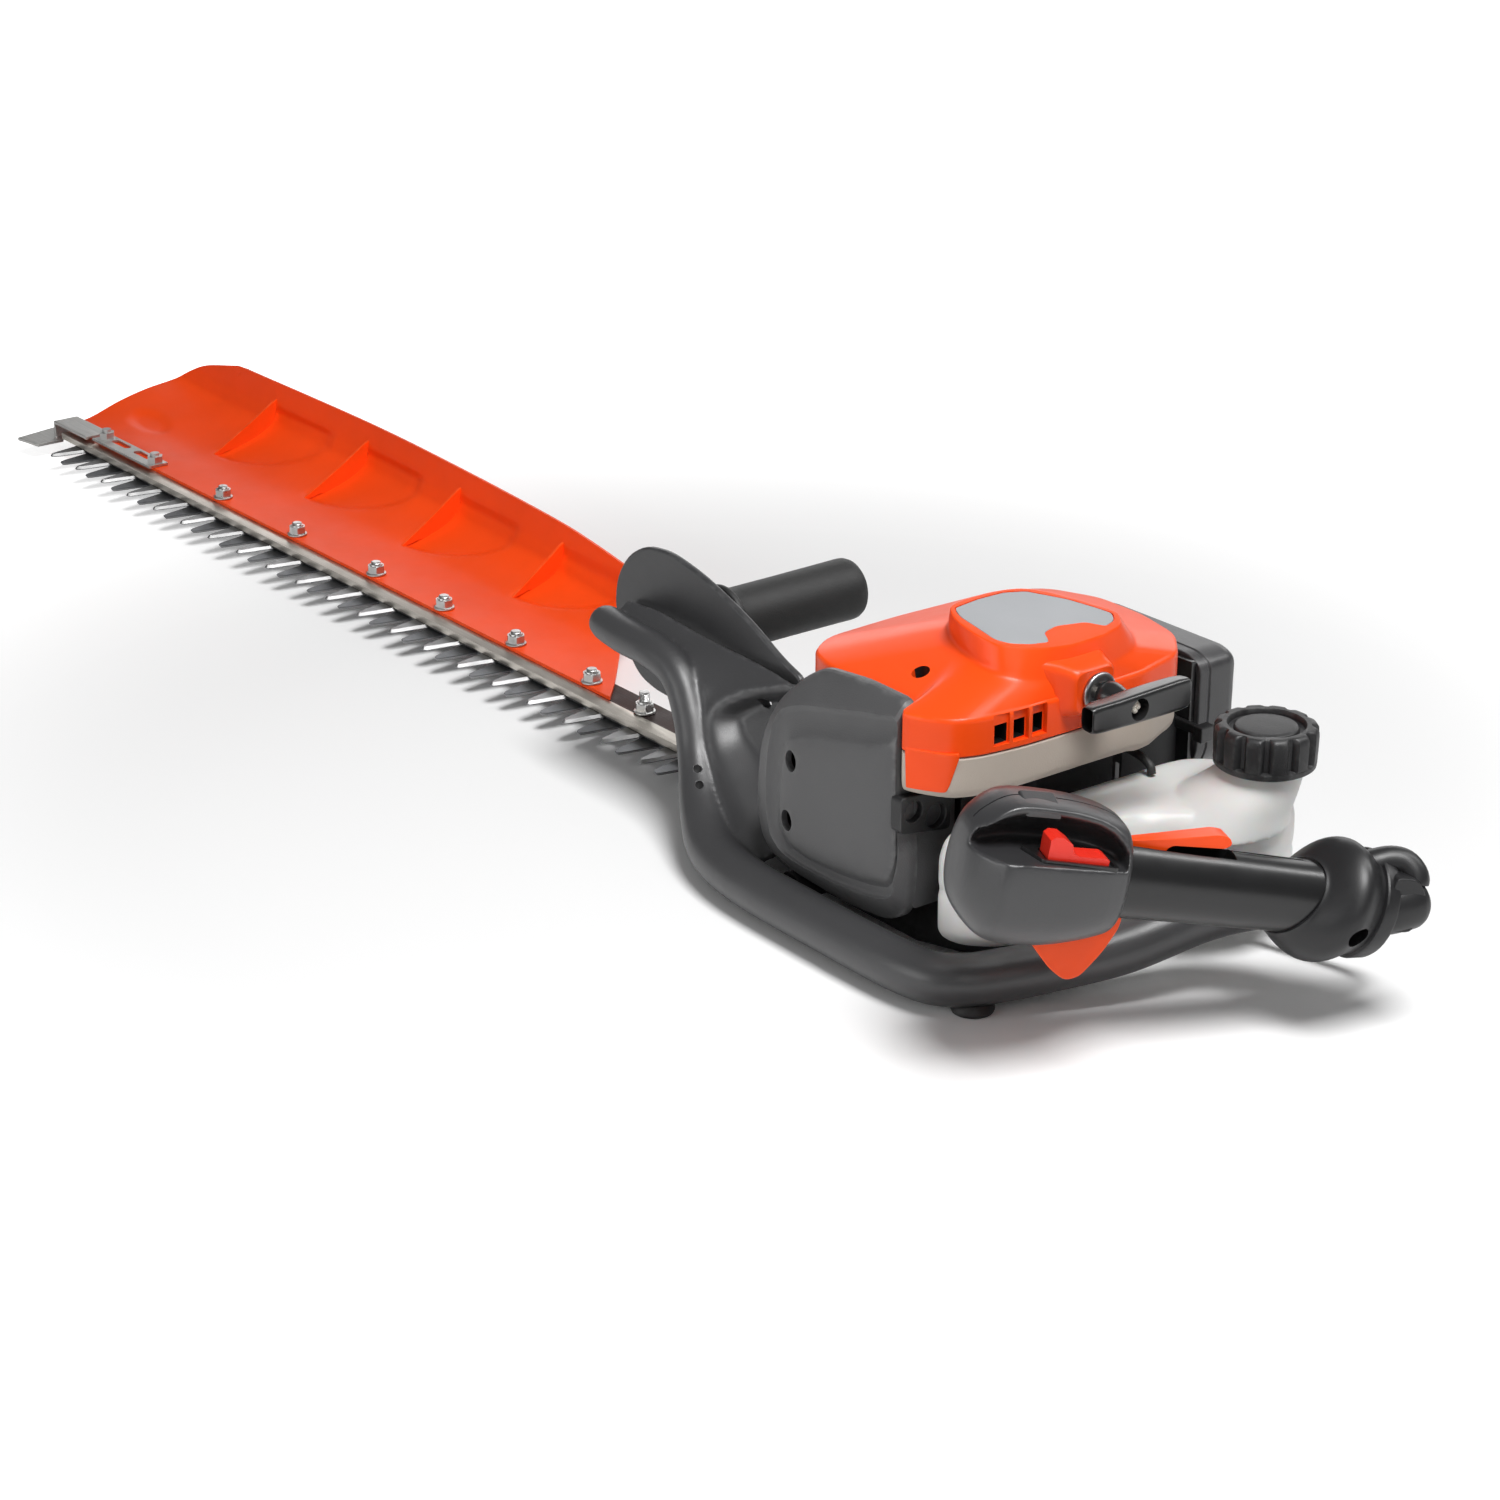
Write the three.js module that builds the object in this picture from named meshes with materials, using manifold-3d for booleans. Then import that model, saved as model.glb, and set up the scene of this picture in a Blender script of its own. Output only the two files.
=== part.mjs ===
// A single-sided petrol hedge trimmer, built from its separate pieces.
// Millimetres. +X runs along the blade to its tip, +Y is the cutting side, +Z is up.
// The origin lies on the floor, under the front of the gear case.
import * as THREE from 'three';
import { mergeVertices } from 'three/addons/utils/BufferGeometryUtils.js';
import Module from 'manifold-3d';

const wasm = await Module();
wasm.setup();

// ---------------------------------------------------------------- driving sizes
const seat = 0.3;              // clearance between pieces that rest on each other
const running = 0.3;           // radial clearance of turning and sliding pieces
const wall = 2.5;              // moulded shell wall

const bladeHeight = 10;        // underside of the lower blade above the floor
const bladeThickness = 2;
const bladeFront = 12;         // edge of the blade strips, where the teeth start
const bladeBack = 11;
const toothPitch = 35;
const toothGap = 50;           // no tooth comes nearer than this to the engine's middle plane
const toothReach = 35;         // tooth tips, from the bolt line
const toothBase = 15;
const toothTip = 5;
const toothOffset = 14;        // lower teeth behind the upper teeth at rest
const toothInset = 25;         // from the bar's tip to the middle of its nearest tooth
const barThickness = 4;
const barFront = 14;
const barBack = 12;
const barTip = 745;
const boltRadius = 3;
const nutRadius = 5.4;
const nutHeight = 5;
const boltInset = 194;         // from the bar's tip to its nearest bolt
const middleBolt = 369;
const nearBoltPitch = 74;
const rootBoltPitch = 49;

const deflectorThickness = 2;
const deflectorPast = 12;      // beyond the bar's tip
const deflectorInset = 23;     // from its near edge to the first bolt that holds it
const deflectorWidth = 93;     // from the bolt line out to the rim
const deflectorHeight = 40;    // rim above the flange
const ribThickness = 2;

const caseFloor = 4;
const caseHeight = 24;
const caseWidth = 84;
const caseWall = 5;
const lidThickness = 3.7;
const tongueFront = 18;
const tongueWidth = 60;

const gearModule = 1.25;
const gearTeeth = 52;
const pinionTeeth = 12;
const gearThickness = 5;
const journalRadius = 9;
const crankX = -178;           // crankshaft, clutch, flywheel and starter share this axis
const drumRadius = 29;
const drumHeight = 13;

const crankRadius = 6;
const crankcaseRadius = 30;
const crankcaseHeight = 48;
const crankThrow = 13.5;
const boreRadius = 16;
const barrelLength = 54;
const finPitch = 6.5;
const finWidth = 58;
const finHeight = 46;
const pistonLength = 20;
const flywheelRadius = 44;
const flywheelHeight = 14;

const ringHeight = 20.7;       // fan housing
const starterWallHeight = 17.7;
const starterRise = 32;        // from the starter's wall to its flat top
const pulleyRadius = 28;
const pulleyHeight = 10;
const ropeRadius = 1.75;
const ropeY = -8;
const snoutRadius = 10;
const snoutReach = 8;          // rope outlet, behind the housing's rear wall
const gripBarLength = 57;
const gripBarHeight = 14;
const gripBarDepth = 12;

const mufflerDepth = 36;
const coverOuterY = 80;
const coverInnerY = 66.5;

const filterDepth = 29;
const filterRear = -217;
const filterFront = -108;
const filterBottom = 52;
const filterTop = 122;

const tankBottom = 24;
const tankTop = 78;
const neckX = -281;
const neckY = -80;
const neckRadius = 19;
const neckTop = 110.7;
const capRadius = 24.5;
const capHeight = 20;

const railRadius = 12.5;
const railHeight = 15.5;       // centre of the side rail above the floor
const guardY = 20;             // outer face of the hand guard
const guardThickness = 4;
const frontGripRadius = 16.5;
const frontGripLength = 88;
const frontGripX = 10;
const frontGripZ = 100;
const frontBarRadius = 8;

const handleLength = 72;       // from the handle's middle to its switch end
const mountReach = 57;         // from the handle's middle to its mount
const rockerLength = 30;

// ---------------------------------------------------------------- worked-out heights
const upperBladeZ = bladeHeight + bladeThickness + seat;
const barZ = upperBladeZ + bladeThickness + seat;
const flangeZ = barZ + barThickness + seat;
const nutZ = flangeZ + deflectorThickness + seat;
const strokeBack = toothOffset / 2;
const strokeOut = (toothPitch - toothOffset) / 2;
const gearX = crankX + (gearModule * (gearTeeth + pinionTeeth)) / 2;
const journalThrow = toothPitch / 4;
const lidZ = caseHeight + seat;
const lidTop = lidZ + lidThickness;
const gearZ = 17.5;
const bellTop = lidTop + 18.7;
const crankcaseZ = bellTop + seat;
const crankcaseTop = crankcaseZ + crankcaseHeight;
const cylinderZ = crankcaseZ + crankcaseHeight / 2 + 1;
const ringZ = crankcaseTop + seat;
const starterZ = ringZ + ringHeight + seat;
const shoulderZ = starterZ + starterWallHeight;
const ropeZ = shoulderZ + 2;

// ---------------------------------------------------------------- materials
function finish(color, roughness, metalness) {
  return new THREE.MeshStandardMaterial({ color, roughness, metalness });
}

const steel = finish(0x9a9a98, 0.35, 0.9);
const barSteel = finish(0xb9ada0, 0.5, 0.6);
const darkSteel = finish(0x4a4c50, 0.4, 0.8);
const zinc = finish(0xc9ccce, 0.3, 0.9);
const castAlloy = finish(0xa7a5a0, 0.55, 0.7);
const orange = finish(0xe8501e, 0.45, 0);
const red = finish(0xd93025, 0.4, 0);
const greyPlastic = finish(0x5b5c5e, 0.55, 0);
const blackPlastic = finish(0x2c2c2e, 0.6, 0);
const rubber = finish(0x1c1c1d, 0.9, 0);
const sandPlastic = finish(0xb0a493, 0.6, 0);
const tankWhite = finish(0xe9e9e6, 0.5, 0);
const foam = finish(0x3b3f38, 1, 0);
const ropeWhite = finish(0xd8d4c8, 0.9, 0);

// ---------------------------------------------------------------- shape helpers
function toSolid(geometry) {
  const bare = geometry.clone();
  bare.deleteAttribute('normal');
  bare.deleteAttribute('uv');
  const merged = mergeVertices(bare, 1e-4);
  return new wasm.Manifold(new wasm.Mesh({
    numProp: 3,
    vertProperties: new Float32Array(merged.attributes.position.array),
    triVerts: new Uint32Array(merged.index.array),
  }));
}

function toGeometry(solid) {
  const mesh = solid.getMesh();
  const geometry = new THREE.BufferGeometry();
  geometry.setAttribute('position', new THREE.BufferAttribute(mesh.vertProperties, 3));
  geometry.setIndex(new THREE.BufferAttribute(mesh.triVerts, 1));
  return geometry;
}

function join(...geometries) {
  return toGeometry(geometries.map(toSolid).reduce((sum, next) => sum.add(next)));
}

function cut(geometry, ...tools) {
  return toGeometry(tools.map(toSolid).reduce((rest, tool) => rest.subtract(tool), toSolid(geometry)));
}

function common(a, b) {
  return toGeometry(toSolid(a).intersect(toSolid(b)));
}

function box(x, y, z) {
  const geometry = new THREE.BoxGeometry(x[1] - x[0], y[1] - y[0], z[1] - z[0]);
  return geometry.translate((x[0] + x[1]) / 2, (y[0] + y[1]) / 2, (z[0] + z[1]) / 2);
}

// A round bar from one point to another, with its own radius at each end.
function bar(from, to, radius, sides = 20, endRadius = radius) {
  const a = new THREE.Vector3(...from);
  const b = new THREE.Vector3(...to);
  const geometry = new THREE.CylinderGeometry(endRadius, radius, a.distanceTo(b), sides);
  const turn = new THREE.Quaternion().setFromUnitVectors(
    new THREE.Vector3(0, 1, 0),
    b.clone().sub(a).normalize(),
  );
  return geometry.applyQuaternion(turn).translate(...a.add(b).multiplyScalar(0.5).toArray());
}

function upright(x, y, radius, low, high, sides = 24) {
  return bar([x, y, low], [x, y, high], radius, sides);
}

// A flat outline in X and Y, raised from one height to another.
function slab(points, low, high, holes = []) {
  const shape = new THREE.Shape(points.map(([x, y]) => new THREE.Vector2(x, y)));
  shape.holes = holes;
  const geometry = new THREE.ExtrudeGeometry(shape, {
    depth: high - low, bevelEnabled: false, curveSegments: 5,
  });
  return geometry.translate(0, 0, low);
}

// An outline in X and Z, spread from one Y to another.
function sideSlab(points, fromY, toY) {
  const flat = slab(points, -toY, -fromY);
  return flat.rotateX(Math.PI / 2);
}

// An outline in Y and Z, spread from one X to another.
function acrossSlab(points, fromX, toX) {
  return slab(points, fromX, toX).applyMatrix4(new THREE.Matrix4().makeBasis(
    new THREE.Vector3(0, 1, 0), new THREE.Vector3(0, 0, 1), new THREE.Vector3(1, 0, 0),
  ));
}

function slot(fromX, toX, radius) {
  const path = new THREE.Path();
  path.absarc(toX, 0, radius, -Math.PI / 2, Math.PI / 2);
  path.absarc(fromX, 0, radius, Math.PI / 2, (3 * Math.PI) / 2);
  return path;
}

function roundHole(x, y, radius) {
  return new THREE.Path().absarc(x, y, radius, 0, 2 * Math.PI);
}

function outward(geometry) {
  const p = geometry.attributes.position;
  const index = geometry.index.array;
  const [a, b, c] = [new THREE.Vector3(), new THREE.Vector3(), new THREE.Vector3()];
  let volume = 0;
  for (let i = 0; i < index.length; i += 3) {
    a.fromBufferAttribute(p, index[i]);
    b.fromBufferAttribute(p, index[i + 1]);
    c.fromBufferAttribute(p, index[i + 2]);
    volume += a.dot(b.cross(c));
  }
  if (volume < 0) {
    for (let i = 0; i < index.length; i += 3) {
      [index[i + 1], index[i + 2]] = [index[i + 2], index[i + 1]];
    }
  }
  return geometry;
}

function meshOf(points, faces) {
  const geometry = new THREE.BufferGeometry().setFromPoints(points);
  geometry.setIndex(new THREE.BufferAttribute(new Uint32Array(faces.flat()), 1));
  return outward(geometry);
}

// A closed solid through a row of rings that all have the same number of points.
function loft(rings) {
  const count = rings[0].length;
  const points = rings.flat();
  const faces = [];
  for (let row = 0; row + 1 < rings.length; row += 1) {
    for (let i = 0; i < count; i += 1) {
      const next = (i + 1) % count;
      const [a, b] = [row * count + i, row * count + next];
      faces.push([a, b, b + count], [a, b + count, a + count]);
    }
  }
  const last = (rings.length - 1) * count;
  for (const [ring, start, turned] of [[rings[0], 0, true], [rings.at(-1), last, false]]) {
    const centre = ring.reduce((sum, p) => sum.add(p), new THREE.Vector3()).divideScalar(count);
    points.push(centre);
    for (let i = 0; i < count; i += 1) {
      const pair = [start + i, start + ((i + 1) % count)];
      faces.push([points.length - 1, ...(turned ? pair.reverse() : pair)]);
    }
  }
  return meshOf(points, faces);
}

// A skin of even thickness over a grid of points.
function sheet(grid, thickness) {
  const [rows, columns] = [grid.length, grid[0].length];
  const at = (r, c) => grid[Math.min(Math.max(r, 0), rows - 1)][Math.min(Math.max(c, 0), columns - 1)];
  const half = thickness / 2;
  const front = [];
  const back = [];
  for (let r = 0; r < rows; r += 1) {
    for (let c = 0; c < columns; c += 1) {
      const along = at(r + 1, c).clone().sub(at(r - 1, c));
      const across = at(r, c + 1).clone().sub(at(r, c - 1));
      const normal = along.cross(across).normalize();
      front.push(at(r, c).clone().addScaledVector(normal, half));
      back.push(at(r, c).clone().addScaledVector(normal, -half));
    }
  }
  const size = rows * columns;
  const faces = [];
  for (let r = 0; r + 1 < rows; r += 1) {
    for (let c = 0; c + 1 < columns; c += 1) {
      const [a, b] = [r * columns + c, r * columns + c + 1];
      const [d, e] = [a + columns, b + columns];
      faces.push([a, d, e], [a, e, b], [a + size, e + size, d + size], [a + size, b + size, e + size]);
    }
  }
  const edge = [];
  for (let c = 0; c < columns; c += 1) edge.push(c);
  for (let r = 1; r < rows; r += 1) edge.push(r * columns + columns - 1);
  for (let c = columns - 2; c >= 0; c -= 1) edge.push((rows - 1) * columns + c);
  for (let r = rows - 2; r > 0; r -= 1) edge.push(r * columns);
  edge.forEach((a, i) => {
    const b = edge[(i + 1) % edge.length];
    faces.push([a, b, b + size], [a, b + size, a + size]);
  });
  return meshOf([...front, ...back], faces);
}

// A tube along a smooth route; each stop is [x, y, z, radius].
function tube(stops, steps, sides = 16) {
  const curve = new THREE.CatmullRomCurve3(stops.map((s) => new THREE.Vector3(...s.slice(0, 3))));
  const radii = new THREE.CatmullRomCurve3(stops.map((s, i) => new THREE.Vector3(i, s[3], 0)));
  const frames = curve.computeFrenetFrames(steps, false);
  const rings = [];
  for (let i = 0; i <= steps; i += 1) {
    const centre = curve.getPoint(i / steps);
    const radius = radii.getPoint(i / steps).y;
    rings.push(frames.normals[i] && Array.from({ length: sides }, (_, k) => {
      const angle = (2 * Math.PI * k) / sides;
      return centre.clone()
        .addScaledVector(frames.normals[i], radius * Math.cos(angle))
        .addScaledVector(frames.binormals[i], radius * Math.sin(angle));
    }));
  }
  return loft(rings);
}

function turned(x, y, profile, sides = 24) {
  const geometry = new THREE.LatheGeometry(profile.map(([r, z]) => new THREE.Vector2(r, z)), sides);
  return geometry.rotateX(Math.PI / 2).translate(x, y, 0);
}

function gearWheel(x, y, teeth, low, high, turn) {
  const pitchRadius = (gearModule * teeth) / 2;
  const points = [];
  const step = (2 * Math.PI) / teeth;
  for (let i = 0; i < teeth; i += 1) {
    const middle = i * step + turn;
    const rim = [[-0.34, -1.3], [-0.12, 0.9], [0.12, 0.9], [0.34, -1.3]];
    for (const [share, lift] of rim) {
      const r = pitchRadius + lift * gearModule;
      const angle = middle + share * step;
      points.push([x + r * Math.cos(angle), y + r * Math.sin(angle)]);
    }
  }
  return slab(points, low, high);
}

const model = new THREE.Group();

function place(name, geometry, material, parent = model) {
  const mesh = new THREE.Mesh(geometry, material);
  mesh.name = name;
  parent.add(mesh);
}

// ---------------------------------------------------------------- blades and guide bar
const lastBolt = barTip - boltInset;
const deflectorBolt = middleBolt - 3 * nearBoltPitch;
const boltPlaces = [
  lastBolt,
  (lastBolt + middleBolt) / 2,
  middleBolt,
  middleBolt - nearBoltPitch,
  middleBolt - 2 * nearBoltPitch,
  deflectorBolt,
  deflectorBolt - rootBoltPitch,
];
const deflectorRoot = deflectorBolt - deflectorInset;
const deflectorTip = barTip + deflectorPast;
const firstTooth = barTip - toothInset;
const toothCount = 1 + Math.floor((firstTooth - toothGap) / toothPitch);
const bladeRoot = gearX + 53;
const rodPinX = bladeRoot + 8;
const rodPinRadius = 4;

function bladeOutline(shift) {
  const tip = firstTooth + toothBase / 2 + 2 + shift;
  const points = [[bladeRoot, -bladeBack], [tip, -bladeBack], [tip, bladeFront]];
  for (let i = 0; i < toothCount; i += 1) {
    const x = firstTooth - i * toothPitch + shift;
    points.push(
      [x + toothBase / 2, bladeFront],
      [x + toothTip / 2, toothReach],
      [x - toothTip / 2, toothReach],
      [x - toothBase / 2, bladeFront],
    );
  }
  points.push([bladeRoot, bladeFront]);
  return points;
}

// The slots leave room for the bolts over the whole stroke.
function blade(shift, low, towardsTip, towardsRoot) {
  const reach = boltRadius + running;
  const holes = boltPlaces.map((x) => slot(x - towardsTip, x + towardsRoot, reach));
  holes.push(roundHole(rodPinX, 0, rodPinRadius + running));
  return slab(bladeOutline(shift), low, low + bladeThickness, holes);
}

function guideBar() {
  const half = tongueWidth / 2;
  const points = [
    [-tongueFront, -half], [tongueFront, -half], [tongueFront + 12, -barBack],
    [barTip, -barBack], [barTip, barFront], [tongueFront + 12, barFront],
    [tongueFront, half], [-tongueFront, half],
  ];
  const holes = boltPlaces.map((x) => roundHole(x, 0, boltRadius + running));
  return slab(points, barZ, barZ + barThickness, holes);
}

function bladeBolt(x, nutSeat, studTop) {
  const head = turned(x, 0, [
    [0, bladeHeight - seat - 2.5], [5, bladeHeight - seat - 2.5],
    [6.5, bladeHeight - seat - 1.2], [6.5, bladeHeight - seat], [0, bladeHeight - seat],
  ], 12);
  const shank = upright(x, 0, boltRadius, bladeHeight - seat - 1, studTop, 10);
  const washer = upright(x, 0, nutRadius + 0.6, nutSeat, nutSeat + 1.2, 12);
  const nut = upright(x, 0, nutRadius, nutSeat + 1, nutSeat + 1 + nutHeight, 6);
  return join(head, shank, washer, nut);
}

function tipGuard() {
  const top = nutZ + deflectorThickness;
  const upperLeaf = box([barTip - 31, deflectorTip + 3], [-6, barFront - 2], [nutZ, top]);
  const riser = box([deflectorTip + 1, deflectorTip + 3], [-6, barFront - 2], [bladeHeight, top]);
  const lowerLeaf = slab([
    [deflectorTip + 1, -8], [deflectorTip + 24, -5], [deflectorTip + 16, toothReach - 2],
    [deflectorTip - 6, toothReach - 6], [deflectorTip - 6, 10], [deflectorTip + 1, 6],
  ], bladeHeight, bladeHeight + 2.2);
  return join(upperLeaf, riser, lowerLeaf);
}

place('guide_bar', guideBar(), barSteel);
place('upper_blade', blade(0, upperBladeZ, strokeOut, strokeBack), steel);
place('lower_blade', blade(-toothOffset, bladeHeight, strokeBack, strokeOut), darkSteel);
boltPlaces.forEach((x, i) => {
  const onDeflector = x > deflectorRoot;
  const nutSeat = onDeflector ? nutZ : flangeZ;
  place(`blade_bolt_${i + 1}`, bladeBolt(x, nutSeat, nutSeat + nutHeight + (onDeflector ? 3 : 7)), zinc);
});
place('tip_guard', tipGuard(), steel);

// ---------------------------------------------------------------- chip deflector
// The floor leaves the bolt flange at its corner, and curls up into the rim.
function deflectorSection() {
  const mid = flangeZ + deflectorThickness / 2;
  const corner = 0.4 * deflectorWidth;
  const crease = 0.86 * deflectorWidth;
  return [
    [5, mid], [-12, mid], [-corner, mid],
    [-0.63 * deflectorWidth, mid + 0.11 * deflectorHeight],
    [-crease, mid + 0.29 * deflectorHeight],
    [-0.93 * deflectorWidth, mid + 0.5 * deflectorHeight],
    [-0.97 * deflectorWidth, mid + 0.74 * deflectorHeight],
    [-deflectorWidth, mid + deflectorHeight],
  ];
}

// Each line along the floor starts on a slanted near end, and stops at the far end
// where the floor curls up and the rim comes down.
const nearEdge = [-1, 19, 52, 78, 105, 112, 124, 138];
const farEdge = [0, 0, 0, 0, 0, 12, 30, 86];
const nearLift = [0, 0, 0, 0, 0, 0, -2, -7];
const farLift = [0, 0, 8, 8.5, 5, 0, 4, 4];
const plainFrom = deflectorRoot + 176;
const plainTo = deflectorTip - 92;

function deflectorPoint(column, along) {
  const [y, z] = deflectorSection()[column];
  const near = deflectorRoot + nearEdge[column];
  const far = deflectorTip - farEdge[column];
  const stops = [near, (near + plainFrom) / 2, plainFrom, 403, 519, plainTo, (plainTo + far) / 2,
    (plainTo + 3 * far) / 4, far];
  const x = stops[along];
  const curl = ([0.3, 0.6, 1][along - 6] ?? 0) * farLift[column];
  const dip = ([1, 0.35][along] ?? 0) * nearLift[column];
  const narrow = 1 - (0.13 * Math.max(0, 520 - x)) / 240 * (y < -40 ? 1 : 0.3);
  const low = 1 - (0.06 * Math.max(0, 403 - x)) / 118;
  const floor = flangeZ + deflectorThickness / 2;
  return new THREE.Vector3(x, y > 0 ? y : y * narrow, floor + (z - floor) * low + curl + dip);
}

function deflectorRib(x) {
  const columns = [2, 4, 7].map((column) => {
    const [y, z] = deflectorSection()[column];
    const narrow = 1 - (0.13 * Math.max(0, 520 - x)) / 240 * (y < -40 ? 1 : 0.3);
    return [y * narrow + (column > 4 ? 2 : 0), z - (column > 4 ? 5 : 0)];
  });
  return acrossSlab(columns, x - ribThickness / 2, x + ribThickness / 2);
}

function deflector() {
  const floor = flangeZ + deflectorThickness / 2;
  const grid = Array.from({ length: 9 }, (_, along) => (
    deflectorSection().map((_point, column) => deflectorPoint(column, along))
  ));
  const ribs = [634, 519, 403, 285].map(deflectorRib);
  const holes = boltPlaces.map((x) => upright(x, 0, boltRadius + running, floor - 5, floor + 5, 12));
  return cut(join(sheet(grid, deflectorThickness), ...ribs), ...holes);
}

function deflectorClip() {
  const [from, to] = [barTip - 113, barTip - 35];
  const plate = slab([[from, -5], [to, -5], [to, 9], [from, 9]], nutZ, nutZ + 1.6, [
    slot(from + 16, from + 32, 2.6), slot(from + 46, from + 62, 2.6),
  ]);
  const nuts = [from + 6, to - 6].map((x) => join(
    upright(x, 1, nutRadius, nutZ + 1, nutZ + 6, 6),
    upright(x, 1, boltRadius, nutZ + 1, nutZ + 8, 12),
  ));
  return join(plate, ...nuts);
}

place('chip_deflector', deflector(), orange);
place('deflector_clip', deflectorClip(), zinc);

// ---------------------------------------------------------------- gear case
const half = caseWidth / 2;
const bellRadius = drumRadius + 5;
const caseRear = crankX - bellRadius - 2;

function caseOutline(inset, front) {
  const tongue = inset ? bladeBack + 4.5 : tongueWidth / 2;
  const side = half - inset;
  return [
    [caseRear + inset, -half / 2], [caseRear + inset + 14, -side + 8], [crankX, -side],
    [gearX + 42 - inset, -side], [gearX + 74 - 2 * inset, -tongue], [front, -tongue],
    [front, tongue], [gearX + 74 - 2 * inset, tongue], [gearX + 42 - inset, side],
    [crankX, side], [caseRear + inset + 14, side - 8], [caseRear + inset, half / 2],
  ];
}

function gearCaseLower() {
  const shell = slab(caseOutline(0, tongueFront), 0, caseHeight);
  const hollow = slab(caseOutline(caseWall, tongueFront + 1), caseFloor, caseHeight + 1);
  const barSeat = box(
    [-tongueFront - seat, tongueFront + 1],
    [-tongueWidth, tongueWidth],
    [barZ - seat, caseHeight + 1],
  );
  return cut(shell, hollow, barSeat);
}

function gearCaseUpper() {
  const lid = slab(caseOutline(0, tongueFront), lidZ, lidTop);
  const tongue = box(
    [-tongueFront, tongueFront],
    [-tongueWidth / 2, tongueWidth / 2],
    [flangeZ, lidTop],
  );
  const bell = upright(crankX, 0, bellRadius, lidZ, bellTop, 28);
  const bellHollow = upright(crankX, 0, drumRadius + 2, lidTop, bellTop + 1, 28);
  const bearing = upright(crankX, 0, journalRadius + running, lidZ - 1, lidTop + 1);
  return cut(join(lid, tongue, bell), bellHollow, bearing);
}

function driveGear() {
  const wheel = gearWheel(gearX, 0, gearTeeth, gearZ, gearZ + gearThickness, Math.PI / gearTeeth);
  const shaft = upright(gearX, 0, 6.5, caseFloor + seat, lidZ - seat);
  const upperJournal = upright(gearX + journalThrow, 0, journalRadius, barZ - 1.8, gearZ + 1);
  const lowerJournal = upright(gearX - journalThrow, 0, journalRadius, bladeHeight - 3, barZ - 1.4);
  return join(wheel, shaft, upperJournal, lowerJournal);
}

// The rod's big end is opened into an oval that the journal never touches.
function driveRod(low, high, pinLow, pinHigh) {
  const across = journalThrow + journalRadius + 2 * running;
  const along = across - journalRadius + strokeOut + running;
  const innerRadius = across;
  const outerRadius = across + caseWall;
  const ringSpan = along - (across - journalRadius) + 1;
  const ovalPoints = (radius) => {
    const points = [];
    for (let i = 0; i < 32; i += 1) {
      const angle = (Math.PI * 2 * (i + 0.5)) / 32;
      const side = Math.cos(angle) > 0 ? ringSpan : -ringSpan;
      points.push([gearX + side + radius * Math.cos(angle), radius * Math.sin(angle)]);
    }
    return points;
  };
  const ring = cut(slab(ovalPoints(outerRadius), low, high), slab(ovalPoints(innerRadius), low - 1, high + 1));
  const arm = box([gearX + ringSpan + innerRadius + 1, rodPinX + 7], [-8, 8], [low, high]);
  const pin = upright(rodPinX, 0, rodPinRadius, pinLow, pinHigh, 20);
  return join(ring, arm, pin);
}

function clutchDrum() {
  const floorZ = lidTop + 1;
  const body = turned(crankX, 0, [
    [0, gearZ], [6, gearZ], [6, lidZ], [journalRadius, lidZ], [journalRadius, floorZ],
    [drumRadius, floorZ], [drumRadius, floorZ + wall + drumHeight],
    [drumRadius - wall, floorZ + wall + drumHeight], [drumRadius - wall, floorZ + wall], [0, floorZ + wall],
  ], 28);
  return join(body, gearWheel(crankX, 0, pinionTeeth, gearZ, gearZ + gearThickness, 0));
}

function clutchShoes() {
  const low = lidTop + wall + 3;
  const reach = drumRadius - wall - 1;
  const disc = upright(crankX, 0, reach, low, low + 9, 28);
  const bore = upright(crankX, 0, crankRadius + running, low - 1, low + 10);
  const gapLeft = box([crankX - 2, crankX + 2], [9, reach + 1], [low - 1, low + 10]);
  const gapRight = box([crankX - 2, crankX + 2], [-reach - 1, -9], [low - 1, low + 10]);
  return cut(disc, bore, gapLeft, gapRight);
}

place('gear_case_lower', gearCaseLower(), castAlloy);
place('gear_case_upper', gearCaseUpper(), castAlloy);
place('drive_gear', driveGear(), darkSteel);
place('upper_drive_rod', driveRod(barZ, barZ + 2.4, upperBladeZ + seat, barZ + 1), darkSteel);
place('lower_drive_rod', driveRod(bladeHeight - 2.7, bladeHeight - seat, bladeHeight - 1,
  bladeHeight + bladeThickness - seat), darkSteel);
place('clutch_drum', clutchDrum(), steel);
place('clutch_shoes', clutchShoes(), darkSteel);

// ---------------------------------------------------------------- engine block
const faceX = crankX + crankcaseRadius + 1;
const headX = faceX + barrelLength;
const crankCavityLow = cylinderZ - 12.5;
const crankCavityHigh = cylinderZ + 12.5;

function crankcase() {
  const body = join(
    upright(crankX, 0, crankcaseRadius, crankcaseZ, crankcaseTop, 40),
    box([crankX, faceX - seat], [-23, 23], [crankcaseZ + 1, crankcaseTop - 1]),
  );
  const cavity = upright(crankX, 0, 23, crankCavityLow, crankCavityHigh, 32);
  const shaftHole = upright(crankX, 0, crankRadius + running, crankcaseZ - 1, crankcaseTop + 1);
  const bore = bar([crankX, 0, cylinderZ], [faceX + 1, 0, cylinderZ], boreRadius + running);
  const shortBore = common(bore, box([crankX, faceX + 2], [-30, 30], [crankCavityLow - 5, crankCavityHigh + 5]));
  return cut(body, cavity, shaftHole, shortBore);
}

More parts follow.
